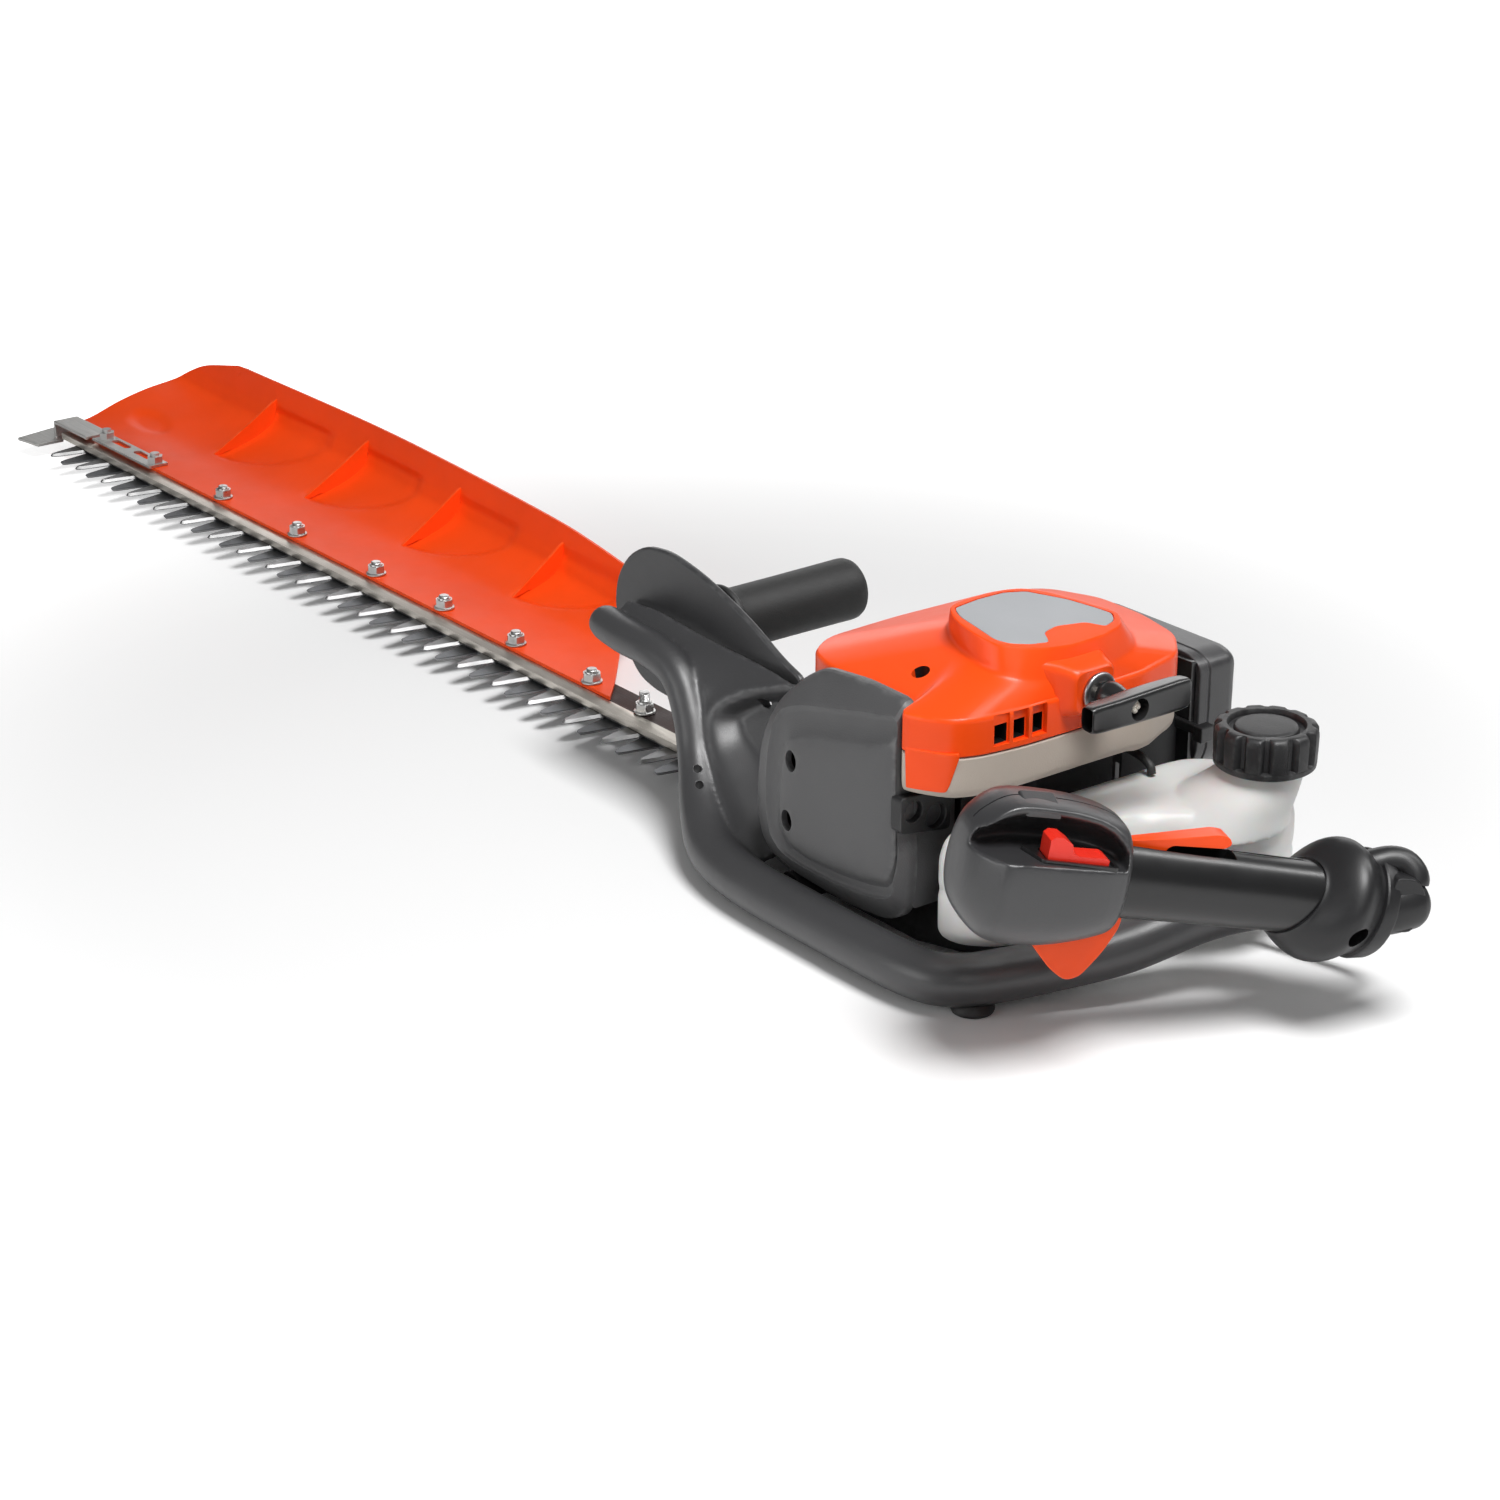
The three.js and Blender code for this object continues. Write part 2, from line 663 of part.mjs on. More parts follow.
function crankshaft() {
  const lowEnd = lidTop + wall + 1 + seat;
  const webThickness = 6;
  const lower = upright(crankX, 0, crankRadius, lowEnd, cylinderZ - 4);
  const upper = upright(crankX, 0, crankRadius, cylinderZ + 4, ringZ + flywheelHeight + 12);
  const webs = [-10, 4].map((offset) => upright(
    crankX, 0, 21, cylinderZ + offset, cylinderZ + offset + webThickness,
  ));
  const pin = upright(crankX, crankThrow, 4.5, cylinderZ - 6, cylinderZ + 6, 16);
  return join(lower, upper, ...webs, pin);
}

function cylinder() {
  const flange = box([faceX, faceX + 5], [-23, 23], [cylinderZ - 23, cylinderZ + 22]);
  const barrel = bar([faceX, 0, cylinderZ], [headX, 0, cylinderZ], boreRadius + 4, 20);
  const fins = [];
  for (let x = faceX + 9; x < headX - 1; x += finPitch) {
    fins.push(box([x, x + 2], [-finWidth / 2, finWidth / 2], [cylinderZ - finHeight / 2, cylinderZ + finHeight / 2]));
  }
  const portX = [faceX + 19, faceX + 39];
  const ports = box(portX, [-finWidth / 2 - 1, finWidth / 2 + 1], [cylinderZ - 9, cylinderZ + 9]);
  const bore = bar([faceX - 1, 0, cylinderZ], [headX - 6, 0, cylinderZ], boreRadius, 20);
  const plugHole = bar([headX - 8, 0, cylinderZ], [headX + 1, 0, cylinderZ], 5 + running, 20);
  return cut(join(flange, barrel, ...fins, ports), bore, plugHole);
}

function piston() {
  const middle = headX - 6 - pistonLength / 2 - crankThrow - 1;
  const body = bar(
    [middle - pistonLength / 2, 0, cylinderZ],
    [middle + pistonLength / 2, 0, cylinderZ],
    boreRadius - running,
    20,
  );
  const hollow = bar([middle - pistonLength, 0, cylinderZ], [middle + 6, 0, cylinderZ], boreRadius - 3, 16);
  return cut(body, hollow);
}

function sparkPlug() {
  return join(
    bar([headX - 6, 0, cylinderZ], [headX + 1, 0, cylinderZ], 5, 16),
    bar([headX + seat, 0, cylinderZ], [headX + 9, 0, cylinderZ], 9, 6),
    bar([headX + 8, 0, cylinderZ], [headX + 20, 0, cylinderZ], 4.5, 16),
    bar([headX + 14, 0, cylinderZ], [headX + 34, 0, cylinderZ], 8, 20, 6.5),
  );
}

function flywheel() {
  const low = ringZ + 3 + 2 * seat;
  const plate = upright(crankX, 0, flywheelRadius, low, low + 4, 28);
  const hub = upright(crankX, 0, 13, low, low + flywheelHeight);
  const vanes = Array.from({ length: 14 }, (_, i) => {
    const vane = box([18, flywheelRadius - 1], [-1, 1], [low + 3, low + flywheelHeight]);
    return vane.rotateZ((2 * Math.PI * i) / 14).translate(crankX, 0, 0);
  });
  const bore = upright(crankX, 0, crankRadius + running, low - 1, low + flywheelHeight + 1);
  return cut(join(plate, hub, ...vanes), bore);
}

function ignitionModule() {
  const near = crankX + flywheelRadius + 1;
  const low = ringZ + 3 + seat;
  return join(
    box([near, near + 8], [-13, 13], [low, low + 12]),
    box([near + 7, near + 20], [-9, 9], [low, low + 14]),
  );
}

place('crankcase', crankcase(), castAlloy);
place('crankshaft', crankshaft(), steel);
place('cylinder', cylinder(), castAlloy);
place('piston', piston(), castAlloy);
place('spark_plug', sparkPlug(), blackPlastic);
place('flywheel', flywheel(), castAlloy);
place('ignition_module', ignitionModule(), blackPlastic);

// ---------------------------------------------------------------- starter and fan housing
const housingCentre = [-170, -12];
const housingOutline = [
  [-207.5, 64], [-207.5, 72], [-220, 69], [-230, 60], [-234, 44], [-235, 8], [-233, -40], [-226, -72], [-208, -90],
  [-180, -97], [-150, -97], [-124, -86], [-111, -64], [-108, 0], [-110, 44], [-120, 58], [-138, 64],
];

const snoutX = Math.min(...housingOutline.map(([x]) => x)) - snoutReach;

function housingRing(z, share, shiftX = 0, shiftY = 0) {
  return housingOutline.map(([x, y]) => new THREE.Vector3(
    housingCentre[0] + shiftX + (x - housingCentre[0]) * share,
    housingCentre[1] + shiftY + (y - housingCentre[1]) * share,
    z,
  ));
}

const innerShare = 1 - wall / 60;

function fanHousing() {
  const outer = loft([housingRing(ringZ, 0.985), housingRing(ringZ + 3, 1), housingRing(ringZ + ringHeight, 1)]);
  const inner = loft([housingRing(ringZ + 3, innerShare), housingRing(ringZ + ringHeight + 1, innerShare)]);
  return cut(outer, inner, upright(crankX, 0, 14, ringZ - 1, ringZ + 4));
}

function roofRings(inset, drop) {
  const levels = [
    [0, 1, 0, 0], [0.1, 0.96, -1, -2], [0.36, 0.76, -7, 6], [0.68, 0.56, -19, 11], [0.92, 0.47, -25, 13],
    [1, 0.4, -26, 13],
  ];
  return levels.map(([rise, share, x, y]) => housingRing(
    shoulderZ - drop + rise * starterRise, share - inset, x, y,
  ));
}

function starterHousing() {
  const outer = loft([housingRing(starterZ, 1), ...roofRings(0, 0)]);
  const inner = loft([housingRing(starterZ - 1, innerShare), ...roofRings(1 - innerShare, wall)]);
  const snout = bar([crankX - 30, ropeY, ropeZ], [snoutX, ropeY, ropeZ], snoutRadius, 24);
  const snoutTrim = common(snout, box([-400, -205], [-100, 100], [0, 300]));
  const post = upright(crankX, 0, 5, starterZ + 9, shoulderZ + starterRise - 1, 20);
  const ropeHole = bar([crankX - 24, ropeY, ropeZ], [snoutX - 1, ropeY, ropeZ], ropeRadius + 1.5, 16);
  const vents = [36, 24, 12].map((y) => box([-240, -215], [y - 4, y + 4], [starterZ + 4, starterZ + 13]));
  const screwHole = upright(-190, 48, 4.5, shoulderZ - 8, shoulderZ + 20, 20);
  return cut(join(cut(outer, inner), snoutTrim, post), ropeHole, ...vents, screwHole);
}

function starterPulley() {
  const low = ropeZ - pulleyHeight / 2;
  const groove = pulleyRadius - 5;
  return turned(crankX, 0, [
    [5 + running, low], [pulleyRadius, low], [pulleyRadius, low + 2], [groove, low + 4],
    [groove, low + 6], [pulleyRadius, low + 8], [pulleyRadius, low + pulleyHeight],
    [5 + running, low + pulleyHeight], [5 + running, low],
  ], 28);
}

function recoilSpring() {
  const low = ropeZ + pulleyHeight / 2 + seat;
  return turned(crankX, 0, [[8, low], [20, low], [20, low + 4], [8, low + 4], [8, low]], 32);
}

function ropeEyelet() {
  const face = snoutX - seat;
  return turned(0, 0, [
    [ropeRadius + 0.7, 0], [snoutRadius - 2, 0], [snoutRadius - 2, 1.5], [ropeRadius + 2, 3],
    [ropeRadius + 0.7, 3], [ropeRadius + 0.7, 0],
  ], 24).rotateY(-Math.PI / 2).translate(face, ropeY, ropeZ);
}

const pullFace = snoutX - 3 - 2 * seat;

function starterHandle() {
  const neckEnd = pullFace - 12;
  const back = neckEnd - gripBarDepth;
  const neck = bar([pullFace, ropeY, ropeZ], [neckEnd - 1, ropeY, ropeZ], 6.5, 20, 8);
  const outline = [
    [neckEnd, -gripBarLength / 2 + 4], [back + 1, -gripBarLength / 2], [back, 0],
    [back + 1, gripBarLength / 2], [neckEnd, gripBarLength / 2 - 4],
  ];
  const grip = slab(outline, ropeZ - gripBarHeight / 2, ropeZ + gripBarHeight / 2).translate(0, ropeY, 0);
  const hole = bar([pullFace + 1, ropeY, ropeZ], [back - 1, ropeY, ropeZ], ropeRadius + running, 12);
  const knotPocket = bar([back + 6, ropeY, ropeZ], [back - 1, ropeY, ropeZ], 5.2, 16);
  return cut(join(neck, grip), hole, knotPocket);
}

function starterRope() {
  const back = pullFace - 12 - gripBarDepth;
  return join(
    bar([crankX - pulleyRadius - 1, ropeY, ropeZ], [back + 4, ropeY, ropeZ], ropeRadius, 10),
    bar([back + 5.7, ropeY, ropeZ], [back + 1.5, ropeY, ropeZ], 3.6, 12),
  );
}

place('fan_housing', fanHousing(), sandPlastic);
place('starter_housing', starterHousing(), orange);
place('starter_pulley', starterPulley(), blackPlastic);
place('recoil_spring', recoilSpring(), darkSteel);
place('rope_eyelet', ropeEyelet(), zinc);
place('starter_rope', starterRope(), ropeWhite);
place('starter_handle', starterHandle(), blackPlastic);

// ---------------------------------------------------------------- muffler
const portFace = finWidth / 2 + 1;
const mufflerX = [faceX + 2, faceX + 50];
const mufflerFace = portFace + seat + mufflerDepth - 3;

function muffler() {
  const z = [cylinderZ - 25, cylinderZ + 22];
  const y = [portFace + seat, mufflerFace];
  const shell = box(mufflerX, y, z);
  const hollow = box([mufflerX[0] + 2, mufflerX[1] - 2], [y[0] + 2, y[1] - 2], [z[0] + 2, z[1] - 2]);
  const outlet = bar([mufflerX[0] + 30, y[1] - 4, cylinderZ + 10], [mufflerX[0] + 30, y[1] + 1, cylinderZ + 10], 5, 16);
  return cut(shell, hollow, outlet);
}

const coverOutline = [
  [-158, 137], [-134, 131], [-118, 120], [-106, 104], [-99, 86], [-97, 65], [-97, 42], [-102, 31],
  [-114, 26], [-136, 25], [-182, 25], [-198, 28], [-205, 38], [-204, 90], [-203, 131], [-196, 136.5],
];

// A ring of the cover's outline in the XZ plane, drawn in by some distance.
function coverRing(y, inset) {
  const centre = [-148, 82];
  return coverOutline.map(([x, z]) => {
    const reach = Math.hypot(x - centre[0], z - centre[1]);
    const share = 1 - inset / reach;
    return new THREE.Vector3(centre[0] + (x - centre[0]) * share, y, centre[1] + (z - centre[1]) * share);
  });
}

function mufflerCover() {
  const outer = loft([
    coverRing(coverInnerY, 0), coverRing(coverOuterY - 9, 0), coverRing(coverOuterY - 3, 4), coverRing(coverOuterY, 12),
  ]);
  const inner = loft([
    coverRing(coverInnerY - 1, wall + 1), coverRing(coverOuterY - 10, wall + 1),
    coverRing(coverOuterY - wall - 1, 16),
  ]);
  const rearPanel = box([-205, -205 + wall], [43, coverInnerY + 1], [40, 90]);
  const standoff = bar([-132, mufflerFace + seat, 70], [-132, coverOuterY - 1, 70], 5, 16);
  const boss = bar([-206, 58, 80], [-198, 58, 80], 9, 4);
  const bossHole = bar([-207, 58, 80], [-200.5, 58, 80], 5, 20);
  const holes = [[-127, 86], [-124, 55]].map(([x, z]) => bar([x, 70, z], [x, 90, z], 4.6, 20));
  return cut(join(cut(outer, inner), rearPanel, standoff, boss), bossHole, ...holes);
}

function coverScrew() {
  return join(
    bar([-205, 58, 80], [-201, 58, 80], 4.4, 12),
    bar([-201.5, 58, 80], [-200.8, 58, 80], 3, 12),
  );
}

place('muffler', muffler(), darkSteel);
place('muffler_cover', mufflerCover(), greyPlastic);
place('cover_screw', coverScrew(), darkSteel);

// ---------------------------------------------------------------- carburettor and air filter
const intakeX = faceX + 29;
const carbFace = -portFace - seat - 11;
const carbBack = carbFace - seat - 30;
const filterPlateY = -97.5;

function insulator() {
  const y = [carbFace, -portFace - seat];
  const block = box([intakeX - 15, intakeX + 15], y, [cylinderZ - 14, cylinderZ + 14]);
  return cut(block, bar([intakeX, y[0] - 1, cylinderZ], [intakeX, y[1] + 1, cylinderZ], 6, 16));
}

function carburettor() {
  const y = [carbBack, carbFace - seat];
  const body = join(
    box([intakeX - 14, intakeX + 14], y, [cylinderZ - 13, cylinderZ + 13]),
    box([intakeX - 17, intakeX + 17], [y[0] + 7, y[1] - 7], [cylinderZ - 16, cylinderZ + 16]),
    bar([intakeX - 24, y[0] + 15, cylinderZ + 4], [intakeX, y[0] + 15, cylinderZ + 4], 4, 12),
  );
  return cut(body, bar([intakeX, y[0] - 1, cylinderZ], [intakeX, y[1] + 1, cylinderZ], 6, 16));
}

function airFilterBase() {
  const plate = box([filterRear + 3, filterFront], [filterPlateY - 3, filterPlateY], [filterBottom, filterTop - 2]);
  const duct = bar([intakeX, filterPlateY - 1, cylinderZ], [intakeX, carbBack - seat, cylinderZ], 13, 24);
  const throat = bar([intakeX, filterPlateY - 5, cylinderZ], [intakeX, carbBack + 1, cylinderZ], 9, 20);
  const primerTab = box([-165, -135], [filterPlateY - 3, filterPlateY], [28, filterBottom + 1]);
  return cut(join(plate, duct, primerTab), throat);
}

function airFilterElement() {
  return box(
    [filterRear + 24, filterFront - 24],
    [filterPlateY - 3 - seat - 14, filterPlateY - 3 - seat],
    [filterBottom + 9, filterTop - 12],
  );
}

function filterRing(y, inset) {
  const [x0, x1] = [filterRear + inset, filterFront - inset];
  const [z0, z1] = [filterBottom + inset, filterTop - inset];
  const corner = 9;
  return [
    [x0, z0 + 18], [x0 + 16, z0], [x1 - corner, z0], [x1, z0 + corner],
    [x1, z1 - 22], [x1 - 18, z1], [x0 + corner, z1], [x0, z1 - 4],
  ].map(([x, z]) => new THREE.Vector3(x, y, z));
}

function airFilterCover() {
  const open = filterPlateY - 3 - seat;
  const face = open - filterDepth;
  const outer = loft([filterRing(open, 0), filterRing(face + 6, 1), filterRing(face, 7)]);
  const inner = loft([filterRing(open + 1, wall), filterRing(face + 6 + wall, wall + 1), filterRing(face + wall, 9)]);
  return cut(outer, inner);
}

const chokePivot = [-196, 88];

function chokeLever() {
  const y = [filterPlateY + seat, filterPlateY + seat + 3];
  const hub = bar([chokePivot[0], y[0], chokePivot[1]], [chokePivot[0], y[1], chokePivot[1]], 5, 16);
  const arm = box([chokePivot[0] - 29, chokePivot[0]], y, [chokePivot[1] - 2.5, chokePivot[1] + 2.5]);
  const knob = box([chokePivot[0] - 33, chokePivot[0] - 27], [y[0] - 3, y[1] + 3], [chokePivot[1] - 4, chokePivot[1] + 4]);
  return join(hub, arm, knob);
}

function primerBulb() {
  const face = filterPlateY - 3 - seat;
  return turned(0, 0, [[0, 0], [9, 0], [9, 2], [8.2, 5.5], [6, 8.5], [3, 10], [0, 10.4]], 24)
    .rotateX(Math.PI / 2).translate(-150, face, 38);
}

place('carburetor_insulator', insulator(), blackPlastic);
place('carburetor', carburettor(), castAlloy);
place('air_filter_base', airFilterBase(), blackPlastic);
place('air_filter_element', airFilterElement(), foam);
place('air_filter_cover', airFilterCover(), greyPlastic);
place('choke_lever', chokeLever(), blackPlastic);
place('primer_bulb', primerBulb(), rubber);

// ---------------------------------------------------------------- fuel tank
const tankOutline = [
  [-217, 58], [-217, -66], [-221, -92], [-234, -106], [-262, -110], [-284, -106], [-297, -92],
  [-299, -70], [-284, -44], [-262, -20], [-256, 26], [-244, 54], [-230, 64], [-221, 64],
];

function tankRing(z, inset) {
  const centre = [-245, -35];
  return tankOutline.map(([x, y]) => {
    const share = 1 - inset / Math.hypot(x - centre[0], y - centre[1]);
    return new THREE.Vector3(centre[0] + (x - centre[0]) * share, centre[1] + (y - centre[1]) * share, z);
  });
}

function circleRing(x, y, radius, z, sides = 28) {
  return Array.from({ length: sides }, (_, i) => {
    const angle = (2 * Math.PI * i) / sides;
    return new THREE.Vector3(x + radius * Math.cos(angle), y + radius * Math.sin(angle), z);
  });
}

function fuelTank() {
  const outer = loft([
    tankRing(tankBottom, 5), tankRing(tankBottom + 6, 0), tankRing(tankTop - 14, 0),
    tankRing(tankTop - 5, 3), tankRing(tankTop, 10),
  ]);
  const inner = loft([
    tankRing(tankBottom + wall, 8), tankRing(tankBottom + 8, wall), tankRing(tankTop - 15, wall),
    tankRing(tankTop - wall, 12),
  ]);
  const shoulder = loft([
    circleRing(neckX + 12, neckY + 12, neckRadius + 12, tankTop - 8),
    circleRing(neckX + 3, neckY + 3, neckRadius + 4, neckTop - 24),
    circleRing(neckX, neckY, neckRadius + 1, neckTop - 17),
  ]);
  const neck = upright(neckX, neckY, neckRadius, tankTop - 4, neckTop, 28);
  const mouth = upright(neckX, neckY, neckRadius - 3, tankBottom + 20, neckTop + 1, 28);
return cut(join(outer, shoulder, neck), inner, mouth);
}

function fuelCap() {
  const low = neckTop + seat + 4 - capHeight;
  const high = low + capHeight;
  const body = turned(neckX, neckY, [
    [neckRadius + running, low], [capRadius - 1, low], [capRadius, low + 1.5], [capRadius, high - 3],
    [capRadius - 3, high], [0, high], [0, neckTop + seat], [neckRadius + running, neckTop + seat],
    [neckRadius + running, low],
  ], 36);
  const notches = Array.from({ length: 12 }, (_, i) => {
    const angle = (2 * Math.PI * i) / 12;
    const [x, y] = [neckX + (capRadius + 1) * Math.cos(angle), neckY + (capRadius + 1) * Math.sin(angle)];
    return upright(x, y, 2.8, low + 3, high + 1, 10);
  });
  return cut(body, ...notches);
}

function fuelHose() {
  return tube([
    [-232, -56, tankTop + 3 * seat, 2.2], [-230, -56, tankTop + 5, 2.2], [-220, -56, tankTop + 8, 2.2],
    [-195, -57, tankTop + 7, 2.2], [-170, -58, tankTop + 1, 2.2], [-150, -58, cylinderZ - 8, 2.2],
    [intakeX - 17 - seat, -58, cylinderZ - 8, 2.2],
  ], 20, 8);
}

place('fuel_tank', fuelTank(), tankWhite);
place('fuel_cap', fuelCap(), blackPlastic);
place('fuel_hose', fuelHose(), rubber);

// ---------------------------------------------------------------- frame
const railStops = [
  [82, 38, 84, 6], [58, 43, 82, 6.5], [30, 43, 82, 7], [9, 43, 77, 8], [-6, 46, 62, 8.5],
  [-20, 53, 42, 9.5], [-38, 64, 26, 11.5], [-64, 77, railHeight + 1, railRadius],
  [-100, 85, railHeight, railRadius], [-160, 86, railHeight, railRadius],
  [-218, 83, railHeight, railRadius], [-248, 68, railHeight, railRadius],
  [-266, 40, railHeight + 2, railRadius], [-280, 5, railHeight + 8, railRadius],
  [-296, -30, 35, railRadius], [-316, -48, 45, railRadius], [-336, -56, 53, railRadius],
  [-357, -61, 58, railRadius], [-386, -70, 61.5, railRadius],
];

function frameWeb() {
  const outerEdge = [[84, 37, 85], [58, 42, 84], [30, 42, 84], [8, 43, 77], [-8, 46, 60], [-22, 54, 41],
    [-42, 67, 24], [-64, 77, 18]];
  const innerEdge = [[80, 22.5, 92], [48, 22.5, 92], [8, 22.5, 92], [-28, 22.5, 92], [-58, 26, 84],
    [-74, 34, 66], [-80, 42, 44], [-84, 54, 30]];
  const grid = outerEdge.map((outer, i) => {
    const a = new THREE.Vector3(...outer);
    const b = new THREE.Vector3(...innerEdge[i]);
    return [0, 0.33, 0.67, 1].map((share) => {
      const point = a.clone().lerp(b, share);
      point.z -= 5 * Math.sin(Math.PI * share);
      return point;
    });
  });
  return sheet(grid, 4);
}

function mainFrame() {
  return join(tube(railStops, 54, 12), frameWeb());
}

function handGuard() {
  const outline = [
    [97, 85], [92, 105], [82, 118], [68, 126], [48, 129], [19, 122], [0, 117], [-23, 109], [-46, 99],
    [-62, 92], [-58, 82], [-30, 68], [0, 52], [37, 47], [62, 48], [76, 52], [87, 64],
  ];
  const leaf = sideSlab(outline, guardY - guardThickness, guardY);
  const spindle = bar(
    [frontGripX, guardY - 1, frontGripZ],
    [frontGripX, guardY - frontGripLength, frontGripZ],
    frontBarRadius,
    20,
  );
  return join(leaf, spindle);
}

function frontGrip() {
  const start = guardY - guardThickness - seat;
  const end = start - frontGripLength;
  const sleeve = bar([frontGripX, start, frontGripZ], [frontGripX, end, frontGripZ], frontGripRadius, 32);
  const lip = bar([frontGripX, start, frontGripZ], [frontGripX, start - 4, frontGripZ], frontGripRadius + 3, 32);
  const bore = bar(
    [frontGripX, start + 1, frontGripZ],
    [frontGripX, guardY - frontGripLength - running, frontGripZ],
    frontBarRadius + running,
    20,
  );
  return cut(join(sleeve, lip), bore);
}

function frameFoot() {
  const top = railHeight - railRadius - seat;
  return slab([[-236, 68], [-256, 56], [-262, 70], [-242, 82]], 0, top);
}

place('main_frame', mainFrame(), greyPlastic);
place('hand_guard', handGuard(), greyPlastic);
place('front_grip', frontGrip(), blackPlastic);
place('frame_foot', frameFoot(), rubber);
place('av_mount_left', bar([-120, half + seat, railHeight], [-120, 86 - railRadius - 0.7, railHeight], 8, 20), rubber);
place('av_mount_rear', bar([caseRear - seat, 8, 14], [-260, 8, 14], 7, 20), rubber);

// ---------------------------------------------------------------- rear handle
// Its own axes: Y along the grip to the switch end, Z up, X towards the engine.
const switchEnd = new THREE.Vector3(-299, 77, 92);
const mountEnd = new THREE.Vector3(-355, -52, 60);
const along = switchEnd.clone().sub(mountEnd).normalize();
const upward = new THREE.Vector3(0, 0, 1).addScaledVector(along, -along.z).normalize();
const forward = along.clone().cross(upward);
const handle = new THREE.Group();
handle.position.copy(switchEnd).add(mountEnd).multiplyScalar(0.5);
handle.quaternion.setFromRotationMatrix(new THREE.Matrix4().makeBasis(forward, along, upward));
model.add(handle);

function gripRing(y, width, height, inset = 0) {
  return Array.from({ length: 24 }, (_, i) => {
    const angle = (2 * Math.PI * i) / 24;
    return new THREE.Vector3((width - inset) * Math.cos(angle), y, (height - inset) * Math.sin(angle));
  });
}

const mountStart = -mountReach;
const gripStations = [
  [mountStart + seat, 15, 17.5], [-34, 15.5, 17.5], [0, 16, 17.5], [28, 16.5, 18], [36, 22, 25],
  [46, 27, 31], [handleLength, 30, 33], [96, 28, 31], [108, 20, 24], [115, 9, 13],
];
const triggerSlot = { x: 6.6, from: 16, to: 76 };
const ledgeZ = 11;
const lockoutSlot = { x: 5.6, from: -30, to: 30 };

function handleBody() {
  const outer = loft(gripStations.map(([y, w, h]) => gripRing(y, w, h)));
  const inner = loft(gripStations.slice(0, -1).map(([y, w, h]) => gripRing(y, w, h, wall)));
  const ledge = box([-60, -15], [37, 130], [ledgeZ, 60]);
  const ledgeInner = box([-60, -15 + wall], [37 - wall, 130], [ledgeZ - wall, 60]);
  const triggerCut = box([-triggerSlot.x, triggerSlot.x], [triggerSlot.from, triggerSlot.to], [-50, -8]);
  const lockoutCut = box([-lockoutSlot.x, lockoutSlot.x], [lockoutSlot.from, lockoutSlot.to], [8, 50]);
  return cut(cut(outer, ledge), cut(inner, ledgeInner), triggerCut, lockoutCut);
}

function handleShell(side) {
  const x = side < 0 ? [-80, -seat / 2] : [seat / 2, 80];
  return common(handleBody(), box(x, [-200, 200], [-100, 100]));
}

function handleMount() {
  const boss = join(
    bar([0, mountStart - 4, 0], [0, mountStart, 0], 22, 28, 17),
    bar([0, mountStart - 34, 0], [0, mountStart - 3.5, 0], 27, 28),
  );
  const toHandle = new THREE.Matrix4().compose(
    handle.position, handle.quaternion, new THREE.Vector3(1, 1, 1),
  ).invert();
  const bore = tube(railStops.map(([x, y, z, r]) => [x, y, z, r + seat]), 54, 12).applyMatrix4(toHandle);
  const conduit = bar([6, mountStart - 12, 8], [10, mountStart - 46, 16], 8, 20, 6.5);
  return cut(join(boss, conduit), bore);
}

function throttleTrigger() {
  const points = [[70, -26], [68, -31], [54, -42], [46, -47], [38, -45], [29, -33], [20, -22], [20, -15], [66, -15]];
  return acrossSlab(points, -6, 6);
}

function throttleLockout() {
  const points = [[28, 10], [28, 18.5], [10, 20.5], [-20, 24.5], [-26, 24], [-27, 19], [-22, 18.2], [-18, 10]];
  return acrossSlab(points, -5, 5);
}

function stopSwitch() {
  const middle = 54;
  const reach = rockerLength / 2;
  const points = [
    [middle - reach, ledgeZ + 2.5], [middle, ledgeZ + seat], [middle + reach, ledgeZ + 2.5],
    [middle + reach, ledgeZ + 7.5], [middle + 4, ledgeZ + 4], [middle - reach, ledgeZ + 5.5],
  ];
  return acrossSlab(points, -26, -16);
}

place('handle_rear_shell', handleShell(-1), blackPlastic, handle);
place('handle_front_shell', handleShell(1), blackPlastic, handle);
place('handle_mount', handleMount(), blackPlastic, handle);
place('throttle_trigger', throttleTrigger(), orange, handle);
place('throttle_lockout', throttleLockout(), orange, handle);
place('stop_switch', stopSwitch(), red, handle);

// ---------------------------------------------------------------- throttle cable
const cableRadius = 3;

place('throttle_cable', tube([
  [-349, -92, 38, cableRadius], [-343, -94, 28, cableRadius], [-326, -93, 17, cableRadius],
  [-296, -86, 13, cableRadius], [-255, -74, 12, cableRadius], [-215, -66, 13, cableRadius],
  [-180, -62, 22, cableRadius], [-142, -60, 34, cableRadius], [intakeX - 2, -58, 44, cableRadius], [intakeX, -58, 50, cableRadius],
  [intakeX, -58, cylinderZ - 16 - seat, cableRadius],
], 40, 8), rubber);

export default model;
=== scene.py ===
# %% [markdown]
# # A petrol hedge trimmer, dressed piece by piece
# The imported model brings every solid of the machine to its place. This lesson puts finer pieces over
# the ones that show, and gives each surface its own finish. Lengths are written in millimetres and
# turned into metres by the value mm, because a workshop drawing is easier to read that way.

# %% Load the frame
import bpy
import bmesh
import math
from mathutils import Matrix, Vector


